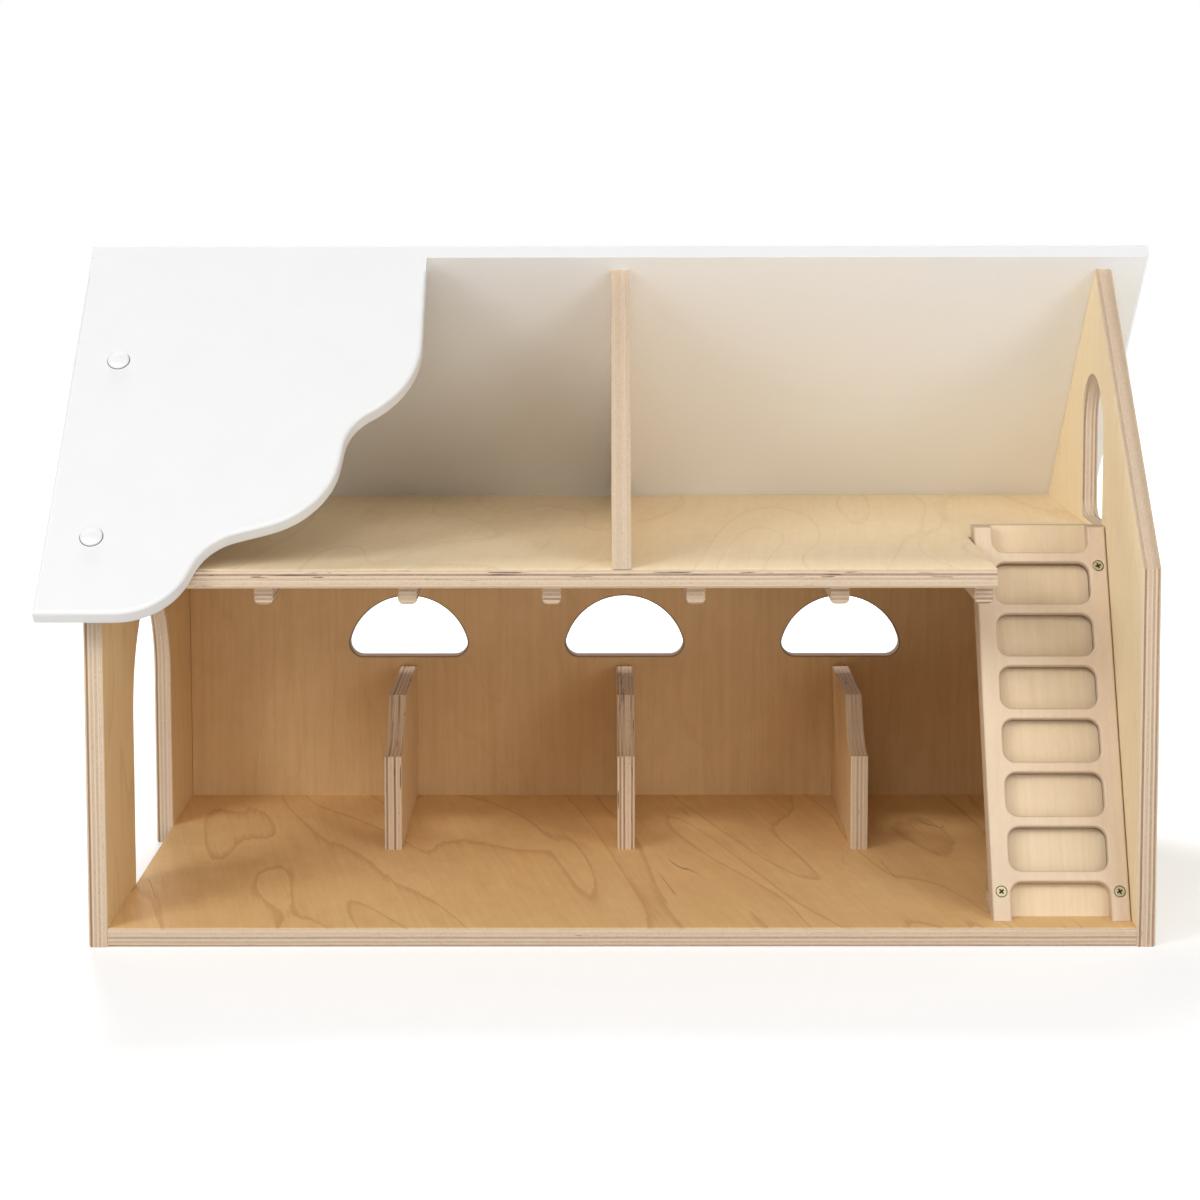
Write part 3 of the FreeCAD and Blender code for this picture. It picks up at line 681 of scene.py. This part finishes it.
levels = {
    "notchSlack": 0.1,
    "floor": {"grain": (-0.22, 1, 0), "through": axisZ, "seed": 2.7, "figure": 1.0, "figureSize": 1.0,
              "cracks": 0.65, "layering": 0.7,
              "pale": (0.830, 0.560, 0.265, 1), "honey": (0.640, 0.375, 0.148, 1)},
    "loft": {"grain": (0.1, 1, 0), "through": axisZ, "seed": 6.2, "figure": 0.35, "figureSize": 0.9,
             "voids": 0.75, "pale": (0.900, 0.735, 0.490, 1), "honey": (0.790, 0.590, 0.345, 1)},
}


def makeLevels(sizes):
    # both start at the front with a rounded edge; the loft's notch goes back to the ladder's rear face
    low, high = boxOf("floor_panel")
    loop = np.array([(low[0], front), (high[0], front), (high[0], high[1]), (low[0], high[1])])
    rounds = [outerRound] + [tightRound] * 3
    makeBoard("floorPanel", "floor_panel", [loop], [(rounds, rounds)], (0, 0, low[2]), axisX, axisY,
              dict(sizes["floor"], origin=tuple(low)))
    notchLeft = ladder["left"] - ladder["notchGap"]
    notchEnd = ladderBackAt(eaveHeight) + sizes["notchSlack"]
    loop = np.array([(loftLow[0], front), (notchLeft, front), (notchLeft, notchEnd),
                     (loftHigh[0], notchEnd), (loftHigh[0], back), (loftLow[0], back)])
    rounds = [outerRound] + [tightRound] * 5
    makeBoard("loftFloor", "loft_floor", [loop], [(rounds, rounds)], (0, 0, loftLow[2]), axisX, axisY,
              dict(sizes["loft"], origin=tuple(loftLow)))


makeLevels(levels)


# Ladder: a frame with rounded windows on a thin back board, with two cleats behind it

def levelEnds(behind):
    # shears the ladder's two ends level: a point moves up the slope by its depth times the lean's tangent
    def bend(spots):
        end = (spots[:, 1] < ladder["endReach"]) | (spots[:, 1] > ladder["length"] - ladder["endReach"])
        spots[:, 1] += end * (behind - spots[:, 2]) * math.tan(ladder["lean"])
        return spots
    return bend


def ladderScrewSpots():
    # middle of each stile, near both ends, as (across, up) on the ladder
    stile = ladder["stile"] / 2
    heights = (ladder["screwLow"], ladder["length"] - ladder["screwHigh"])
    return [(across, up) for across in (stile, ladder["width"] - stile) for up in heights]


def makeLadderFrame(sizes):
    # two stiles and rungs at an even pitch, a rounded window between each two rungs, open at both ends
    wide, long, stile = sizes["width"], sizes["length"], sizes["stile"]
    halfRung, corner = sizes["rung"] / 2, sizes["corner"]
    rungs = np.arange(sizes["rungFirst"], long, sizes["rungPitch"])
    inner = wide - stile
    first, last = rungs[0] - halfRung, rungs[-1] + halfRung
    outline = roundCorners([
        (0, 0, 0), (stile, 0, 0), (stile, first, corner), (inner, first, corner), (inner, 0, 0),
        (wide, 0, 0), (wide, long, 0), (inner, long, 0), (inner, last, corner), (stile, last, corner),
        (stile, long, 0), (0, long, 0)])
    middle = sideMiddles(outline)[:, 1]
    sawn = (middle < hair) | (middle > long - hair)
    windows = []
    for lower, upper in zip(rungs + halfRung, rungs[1:] - halfRung):
        windows.append(roundCorners([(stile, lower, corner), (stile, upper, corner),
                                     (inner, upper, corner), (inner, lower, corner)]))
    holes = [circle(across, up, sizes["hole"]) for across, up in ladderScrewSpots()]
    rims = [sizes["rearRound"]] * (len(windows) - 1) + [sizes["rearRoundTop"]]  # the top one is by a screw
    rounds = [(tightRound, np.where(sawn, sizes["endRound"], sizes["round"]))]
    rounds += [(rim, sizes["round"]) for rim in rims]
    rounds += [(tightRound, sizes["holeRound"])] * len(holes)
    rear = ladderSeat - ladderOut * sizes["frame"]
    look = dict(sizes["wood"], grain=ladderUp, through=ladderOut, origin=rear, paintedShade=sizes["paintedShade"])
    makeBoard("ladderFrame", "ladder_frame", [outline] + windows + holes, rounds, rear, axisX, ladderUp,
              look, sizes["frame"], levelEnds(sizes["frame"]))


def makeLadderBack(sizes):
    # plain board of the frame's size on its rear face
    wide, long = sizes["width"], sizes["length"]
    plain = np.array([(0, 0), (wide, 0), (wide, long), (0, long)], float)
    rear = ladderSeat - ladderOut * sizes["frame"] - ladderOut * sizes["back"]
    look = dict(sizes["board"], grain=ladderUp, through=ladderOut, origin=rear)
    makeBoard("ladderBack", "ladder_back", [plain], [(tightRound, tightRound)], rear, axisX, ladderUp,
              look, sizes["back"], levelEnds(sizes["frame"] + sizes["back"]))


def makeCleats(sizes):
    # sections on the ladder's rear face, carried over its width: wedge on the floor, block under the loft
    top = ply + sizes["cleatHeight"]
    heel = ladderBackAt(ply) + sizes["cleatBase"]
    wedge = np.array([(ladderBackAt(ply), ply), (heel, ply), (heel, top), (ladderBackAt(top), top)])
    under = loftLow[2]
    drop = under - sizes["cleatHeight"]
    grip = ladderBackAt(eaveHeight) + levels["notchSlack"] + sizes["cleatGrip"]
    block = np.array([(ladderBackAt(drop), drop), (grip, drop), (grip, under),
                      (ladderBackAt(under), under)])
    origin = (sizes["left"], 0, 0)
    for name, node, loop in (("ladderFootCleat", "ladder_foot_cleat", wedge),
                             ("ladderTopCleat", "ladder_top_cleat", block)):
        look = dict(sizes["wood"], grain=axisX, through=axisZ, origin=(0, 0, loop[0][1]))
        makeBoard(name, node, [loop], [(innerRound, innerRound)], origin, axisY, axisZ, look,
                  sizes["width"])


makeLadderFrame(ladder)
makeLadderBack(ladder)
makeCleats(ladder)
print("floor, loft and ladder made")


# Back wall with its three half-moon windows, and the stall dividers in front of them

stalls = {
    "pitch": 160.0, "shift": 4.0, "moon": 45.0, "sill": 117.0, "moonCorner": 10.0, "moonRound": 1.6,
    "archPoints": 44, "cornerPoints": 22,
    "depth": 154.0, "front": 65.0, "rise": 33.0, "cove": 47.0, "covePoints": 18, "seam": 0.6,
    "wall": {"grain": axisZ, "through": -axisY, "seed": 5.5, "figure": 0.22, "figureSize": 1.3,
             # the window rims are darkened: painted shade, partly a saw-browned cut
             "streaks": 1.3, "scorchAndShade": 0.75,
             "pale": (0.770, 0.540, 0.285, 1), "honey": (0.640, 0.420, 0.195, 1)},
    "divider": {"grain": axisZ, "through": axisX, "figure": 0.4, "figureSize": 1.5,
                "layering": 1.3, "voids": 0.8,
                "pale": (0.800, 0.590, 0.350, 1), "honey": (0.680, 0.470, 0.250, 1)},
    "seedFrom": 9.0, "seedRun": 40.0,       # a divider's seed moves on by one over this run
}


def moonLoop(middle, sizes):
    # half circle on a level sill; a small arc of its own touches both at each lower corner
    big, small, sill = sizes["moon"], sizes["moonCorner"], sizes["sill"]
    side = math.sqrt((big - small) ** 2 - small ** 2)
    rise = math.atan2(small, side)
    first = np.linspace(-math.pi / 2, rise, sizes["cornerPoints"])
    arch = np.linspace(rise, math.pi - rise, sizes["archPoints"])[1:-1]
    last = np.linspace(math.pi - rise, 1.5 * math.pi, sizes["cornerPoints"])
    loop = np.vstack([
        np.stack([side + small * np.cos(first), small + small * np.sin(first)], 1),
        np.stack([big * np.cos(arch), big * np.sin(arch)], 1),
        np.stack([-side + small * np.cos(last), small + small * np.sin(last)], 1)])
    return loop[::-1] + (middle, sill)


def dividerLoop(sizes):
    # low front, a cove that starts level and climbs along a circle, then a level top to the wall
    low, high = ply + sizes["front"], ply + sizes["front"] + sizes["rise"]
    wall = wallLow[1]
    nose = wall - sizes["depth"]
    radius = (sizes["cove"] ** 2 + sizes["rise"] ** 2) / (2 * sizes["rise"])
    turns = np.linspace(math.asin(sizes["cove"] / radius), 0, sizes["covePoints"])
    cove = np.stack([nose + radius * np.sin(turns), low + radius * (1 - np.cos(turns))], 1)
    return np.vstack([[(nose, ply), (wall, ply), (wall, high)], cove])


def makeStalls(sizes):
    # windows and dividers share their middles, an even pitch apart
    middles = [sizes["shift"] + step * sizes["pitch"] for step in (-1, 0, 1)]
    wall = np.array([(wallLow[0], 0), (wallHigh[0], 0), (wallHigh[0], wallHigh[2]),
                     (wallLow[0], wallHigh[2])])
    loops = [wall] + [moonLoop(middle, sizes) for middle in middles]
    rounds = [(tightRound, sizes["seam"])] + [(innerRound, sizes["moonRound"])] * len(middles)
    makeBoard("backWall", "back_wall", loops, rounds, (0, back, 0), axisX, axisZ,
              dict(sizes["wall"], origin=(wallLow[0], back, 0)))
    loop = dividerLoop(sizes)
    for name, middle in zip(("Left", "Middle", "Right"), middles):
        origin = (middle - ply / 2, 0, 0)
        seed = sizes["seedFrom"] + middle / sizes["seedRun"]
        makeBoard("stallDivider" + name, "stall_divider_" + name.lower(), [loop],
                  [(innerRound, innerRound)], origin, axisY, axisZ,
                  dict(sizes["divider"], origin=origin, seed=seed))


makeStalls(stalls)
print("back wall and stalls made")


# Loft partition and the six beams under the loft

ceiling = {
    "beams": 6, "wallGap": 91.3, "notchGap": 0.2, "setback": 14.0, "beamRound": 3.5, "roundStep": 9.0,
    "partition": {"grain": axisZ, "through": axisX, "seed": 7.4, "figure": 0.45, "figureSize": 1.2,
                  "layering": 0.4, "pale": (0.860, 0.675, 0.440, 1), "honey": (0.750, 0.560, 0.335, 1)},
    "beam": {"grain": axisY, "through": axisZ, "figure": 0.3, "figureSize": 2.0, "layering": 1.3,
             "pale": (0.690, 0.510, 0.330, 1), "honey": (0.560, 0.390, 0.230, 1)},
    "seedStep": 1.7,
}


def makeCeiling(sizes):
    # the partition fills the gable's slopes up to the back wall; beams stand evenly from wall to notch
    inner = wallLow[1]
    tail = eaveHeight + (back - inner) * math.tan(barn["pitch"])
    loop = np.array([(front, eaveHeight), (inner, eaveHeight), (inner, tail), (0, apexHeight)])
    origin = (-ply / 2, 0, 0)
    makeBoard("loftPartition", "loft_partition", [loop], [(innerRound, innerRound)], origin, axisY, axisZ,
              dict(sizes["partition"], origin=origin))
    under, low, soft = loftLow[2], loftLow[2] - ply, sizes["beamRound"]
    first = loftLow[0] + sizes["wallGap"] + ply / 2
    last = ladder["left"] - ladder["notchGap"] - sizes["notchGap"] - ply / 2
    length = inner - front - sizes["setback"]
    for number, middle in enumerate(np.linspace(first, last, sizes["beams"]), 1):
        left, right = middle - ply / 2, middle + ply / 2
        corners = [(left, low, soft), (right, low, soft), (right, under, 0), (left, under, 0)]
        section = roundCorners(corners, step=sizes["roundStep"])
        look = dict(sizes["beam"], origin=(middle, 0, low), seed=number * sizes["seedStep"])
        makeBoard(f"ceilingBeam{number}", f"ceiling_beam_{number}", [section], [(tightRound, innerRound)],
                  (0, inner, 0), axisX, axisZ, look, length)


makeCeiling(ceiling)
print("partition and beams made")


# White roof boards; the front one ends in a wavy edge

roof = {
    "overhang": 40.5,
    "screwInset": 16.0, "screwSpacing": 141.5,
    "fade": 0.5, "crisp": 0.05,     # the rounding ends a board's thickness below the ridge
    "wave": [(79.8, 0.0, 45.0), (99.2, 54.0, 37.0), (172.4, 77.4, 60.0), (180.6, 146.5, 37.0),
             (224.0, 176.5, 70.0)],     # corners from the eave up: along the ridge, up the slope, radius
}
slopeRun = back / math.cos(barn["pitch"]) + roof["overhang"]
roofLow, roofHigh = boxOf("rear_roof")
frontUp = np.array([0, math.cos(barn["pitch"]), math.sin(barn["pitch"])])
rearUp = np.array([0, -math.cos(barn["pitch"]), math.sin(barn["pitch"])])
apex = np.array([0, 0, apexHeight])


def makeRoof(sizes):
    # boards up both slopes from the eaves; the rear one runs on by its thickness, over the front one's end
    fade, crisp = sizes["fade"], sizes["crisp"]
    left, right = roofLow[0], roofHigh[0]
    eave = apex - frontUp * slopeRun
    top = slopeRun
    edge = sizes["wave"][-1][0]
    near = top - ply
    corners = [(0, 0, 0)] + sizes["wave"] + [(edge, near - fade, 0), (edge, near, 0), (edge, top, 0)]
    outline = roundCorners(corners + [(0, top, 0), (0, near, 0), (0, near - fade, 0)])
    rounds = np.where(sideMiddles(outline)[:, 1] > near, crisp, outerRound)
    makeBoard("frontRoof", "front_roof", [outline], [(rounds, rounds)], (left, eave[1], eave[2]),
              axisX, frontUp, whitePaint)
    eave = apex - rearUp * slopeRun
    long, top = right - left, slopeRun + ply
    outline = np.array([(0, 0), (long, 0), (long, top), (0, top)])
    underside = [outerRound, outerRound, crisp, outerRound]
    makeBoard("rearRoof", "rear_roof", [outline], [(underside, outerRound)], (right, eave[1], eave[2]),
              -axisX, rearUp, rearPaintLitUnderside)


makeRoof(roof)
print("roof made")


# Turned pieces: caps over the roof screws, and the ladder's screws with their cross recess

trim = {
    "capRadius": 6.85, "capHeight": 3.2, "capRim": 1.3, "capSoft": 0.35, "capSharp": 50.0,
    "capRing": 7.3, "ringHeight": 0.15,
    "shoulderTurn": math.pi / 3, "shoulderPoints": 4, "crownEnd": 0.02, "crownPoints": 10,
    "headRadius": 3.2, "headEdge": 0.05, "coneTop": 0.12, "headRings": 26, "headSegments": 72,
    "shank": 1.7, "screwLength": 25.0, "point": 4.0, "tip": 0.2, "screwSharp": 40.0,
    "crossSpan": 1.85, "crossHalf": 0.42, "crossDepth": 1.3, "crossTurn": (0.70, -0.12),
    "crossSide": 0.12, "crossEnd": 0.25, "crossTaper": 0.45,    # run of its walls, and its loss of depth
}


def turnedShape(radius, height, segments=48):
    # profile of (radius, height) spun about its own axis; both ends close on the axis
    turns = np.linspace(0, 2 * math.pi, segments, endpoint=False)
    around = np.stack([np.cos(turns), np.sin(turns)], 1)
    rings = np.concatenate([radius[:, None, None] * around[None],
                            np.broadcast_to(height[:, None, None], (len(radius), segments, 1))], 2)
    index = np.arange(len(radius) * segments).reshape(len(radius), segments)
    ring = np.roll(index, -1, 1)
    quads = np.stack([index[:-1], ring[:-1], ring[1:], index[1:]], 2).reshape(-1, 4)
    spots = np.vstack([rings.reshape(-1, 3), [(0, 0, height[0])], [(0, 0, height[-1])]])
    first = np.stack([np.full(segments, len(spots) - 2), ring[0], index[0]], 1)
    last = np.stack([np.full(segments, len(spots) - 1), index[-1], ring[-1]], 1)
    return spots, quads, np.vstack([first, last])


def manyPlaced(shape, seats, out, turns=(0.0, 0.0)):
    # the same turned shape on every seat, its axis along out; turns holds the first copy's turn about it,
    # and the change from one copy to the next
    spots, quads, ends = shape
    side = np.cross(axisX, out)
    placed, faces = [], []
    for number, seat in enumerate(seats):
        turn = turns[0] + number * turns[1]
        across = axisX * math.cos(turn) - side * math.sin(turn)
        placed.append(spots @ np.array([across, np.cross(out, across), out]) + seat)
        jump = number * len(spots)
        faces += (quads + jump).tolist() + (ends + jump).tolist()
    return np.vstack(placed), faces


def capShape(sizes):
    # thin flat ring at the foot, dark with painted shade, short rim, soft shoulder, then part of a sphere
    # to the crown
    wide, tall, rim, soft = sizes["capRadius"], sizes["capHeight"], sizes["capRim"], sizes["capSoft"]
    ring, low = sizes["capRing"], sizes["ringHeight"]
    turns = np.linspace(0, sizes["shoulderTurn"], sizes["shoulderPoints"])
    rise = tall - rim
    sphere = (wide ** 2 + rise ** 2) / (2 * rise)
    fall = np.linspace(math.asin((wide - soft) / sphere), sizes["crownEnd"], sizes["crownPoints"])
    shoulder = wide - soft * (1 - np.cos(turns))
    radius = np.concatenate([[ring / 2, ring, ring, wide, wide], shoulder, sphere * np.sin(fall)])
    crown = tall - sphere * (1 - np.cos(fall))
    lift = np.concatenate([[0, 0, low, low, 2 * low], rim - soft + soft * np.sin(turns), crown])
    shape = turnedShape(radius, lift)
    # the foot ring and the rim's foot get painted shade
    sunk = (shape[0][:, 2] < low + hair).astype(float)
    return shape, sunk


def roofSeats(up, out, sides):
    # on the roof's top, over the middle of a gable's edge
    seats = []
    for side in sides:
        for rise in (roof["screwInset"], roof["screwInset"] + roof["screwSpacing"]):
            seat = apex - up * (slopeRun - roof["overhang"] - rise) + out * ply
            seats.append(seat + axisX * side * (rightHigh[0] - ply / 2))
    return seats


def screwShape(sizes):
    # from the point up the shank and the countersunk cone, then over the flat head to its middle;
    # the head sinks where it lies in one of two crossed bars, deepest in the middle
    head, shank, long, edge = sizes["headRadius"], sizes["shank"], sizes["screwLength"], sizes["headEdge"]
    face = np.linspace(head - 2 * edge, edge, sizes["headRings"])
    radius = np.concatenate([[sizes["tip"], shank, shank, head - edge, head], face])
    lift = np.concatenate([[-long, sizes["point"] - long, shank - head, -sizes["coneTop"], -edge],
                           np.zeros(len(face))])
    spots, quads, ends = turnedShape(radius, lift, sizes["headSegments"])
    flat = spots[:, 2] > -hair
    across, along = np.abs(spots[:, 0]), np.abs(spots[:, 1])
    narrow, wide = np.minimum(across, along), np.maximum(across, along)
    inBar = np.clip((sizes["crossHalf"] - narrow) / sizes["crossSide"] + 0.5, 0, 1)
    inSpan = np.clip((sizes["crossSpan"] - wide) / sizes["crossEnd"], 0, 1)
    deep = sizes["crossDepth"] * (1 - sizes["crossTaper"] * wide / sizes["crossSpan"])
    # how far a point lies in the cross; this carries painted shade
    sunk = flat * inBar * inSpan
    spots[:, 2] -= sunk * deep
    return (spots, quads, ends), sunk


def makeTrim(sizes):
    # a cap on each roof screw's seat, and a screw in each of the ladder's holes
    frontOut = np.cross(axisX, frontUp)
    rearOut = -np.cross(axisX, rearUp)
    shape, sunk = capShape(sizes)
    for name, node, seats, out in (
            ("frontRoofCaps", "front_roof_caps", roofSeats(frontUp, frontOut, (-1,)), frontOut),
            ("rearRoofCaps", "rear_roof_caps", roofSeats(rearUp, rearOut, (-1, 1)), rearOut)):
        spots, faces = manyPlaced(shape, seats, out)
        caps = makePiece(name, spots, faces, whiteCap, [node], sizes["capSharp"])
        markRecess(caps, sunk, len(seats))
    seats = [ladderSeat + axisX * across + ladderUp * up for across, up in ladderScrewSpots()]
    shape, sunk = screwShape(sizes)
    spots, faces = manyPlaced(shape, seats, ladderOut, sizes["crossTurn"])
    screws = makePiece("ladderScrews", spots, faces, zincSteel, ["ladder_screws"],
                       sizes["screwSharp"])
    markRecess(screws, sunk, len(seats))


makeTrim(trim)

# Pieces hidden inside the joints keep their solids and get a finish
hiddenFinish = {"_dowels": beechDowel, "roof_screws": zincSteel}
for node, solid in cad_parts.items():
    for ending, finish in hiddenFinish.items():
        if node.endswith(ending):
            solid.data.materials.clear()
            solid.data.materials.append(finish)
print("caps, screws and dowels finished")


# Stage: pale floor in white surroundings, soft lamps in front, above, at the right and behind

stage = {
    "floorSize": 8.0, "floorWhite": (0.75, 0.75, 0.75, 1),
    "floorGlow": 0.38, "glowNear": 0.55, "glowFar": 1.5,    # part of white by the barn, full white far off
    "ambient": 0.12,
    "lamps": [      # name, place, aim, width, watts
        ("keyLamp", (-1.7, -1.7, 1.5), (0.05, 0.0, 0.2), 1.3, 32.0),
        ("fillLamp", (1.7, -1.9, 1.4), (0.05, 0.0, 0.2), 1.3, 16.0),
        ("frontLamp", (1.25, -2.4, 0.6), (0.05, 0.0, 0.2), 1.2, 8.5),
        ("middleLamp", (-0.25, -2.2, 1.6), (0.05, 0.0, 0.2), 1.2, 15.0),
        ("sideLamp", (2.3, 0.2, 0.5), (0.3, 0.0, 0.2), 1.2, 7.0),
        ("topLamp", (1.0, -0.5, 2.4), (0.05, 0.0, 0.2), 1.3, 5.0),
        ("backLamp", (-0.5, 1.65, 2.3), (0.0, 0.0, 0.3), 0.9, 52.0),
    ],
    "noGlint": "backLamp",      # doesn't mirror in paint and wood
}


def seenWhite(tree):
    # one where a camera, a mirror-like or a see-through ray arrives, else nothing
    path = addNode(tree, "ShaderNodeLightPath").outputs
    seen = calc(tree, "MAXIMUM", path["Is Camera Ray"], path["Is Glossy Ray"])
    return calc(tree, "MAXIMUM", seen, path["Is Transmission Ray"])


def makeFloor(sizes):
    # matt square that takes the barn's shadow, plus a white glow that grows with the distance from it
    half = sizes["floorSize"] / 2
    mesh = bpy.data.meshes.new("studioFloor")
    square = [(-half, -half, 0), (half, -half, 0), (half, half, 0), (-half, half, 0)]
    mesh.from_pydata(square, [], [(0, 1, 2, 3)])
    material = newMaterial("studioFloor")
    tree = material.node_tree
    plain = addNode(tree, "ShaderNodeBsdfDiffuse", None, {"Color": sizes["floorWhite"]})
    spot = addNode(tree, "ShaderNodeTexCoord").outputs["Object"]
    away = addNode(tree, "ShaderNodeVectorMath", {"operation": "LENGTH"}, {0: spot}).outputs["Value"]
    fade = ramp(tree, away, sizes["glowNear"], sizes["glowFar"], sizes["floorGlow"], 1.0)
    glow = addNode(tree, "ShaderNodeEmission", None, {"Strength": product(tree, seenWhite(tree), fade)})
    both = addNode(tree, "ShaderNodeAddShader", None, {0: plain.outputs[0], 1: glow.outputs[0]})
    showSurface(tree, both)
    mesh.materials.append(material)
    floor = bpy.data.objects.new("studioFloor", mesh)
    bpy.context.scene.collection.objects.link(floor)


def makeSky(sizes):
    # white to the eye, but only the ambient share of it lights the barn
    world = bpy.data.worlds.new("studio")
    bpy.context.scene.world = world
    world.use_nodes = True
    tree = world.node_tree
    tree.nodes.clear()
    lift = product(tree, seenWhite(tree), 1.0 - sizes["ambient"])
    showSurface(tree, addNode(tree, "ShaderNodeBackground", None, {
        "Color": (1, 1, 1, 1), "Strength": calc(tree, "ADD", lift, sizes["ambient"])}), "World")


def makeLamps(sizes):
    # round soft lamps, each turned from its place to its aim
    for name, place, aim, size, power in sizes["lamps"]:
        lamp = bpy.data.lights.new(name, "AREA")
        lamp.shape = "DISK"
        lamp.size = size
        lamp.energy = power
        holder = bpy.data.objects.new(name, lamp)
        holder.location = place
        holder.rotation_euler = (Vector(aim) - Vector(place)).to_track_quat("-Z", "Y").to_euler()
        holder.visible_glossy = name != sizes["noGlint"]
        bpy.context.scene.collection.objects.link(holder)


makeFloor(stage)
makeSky(stage)
makeLamps(stage)
bpy.context.scene.view_settings.view_transform = "Standard"
print("stage lit")
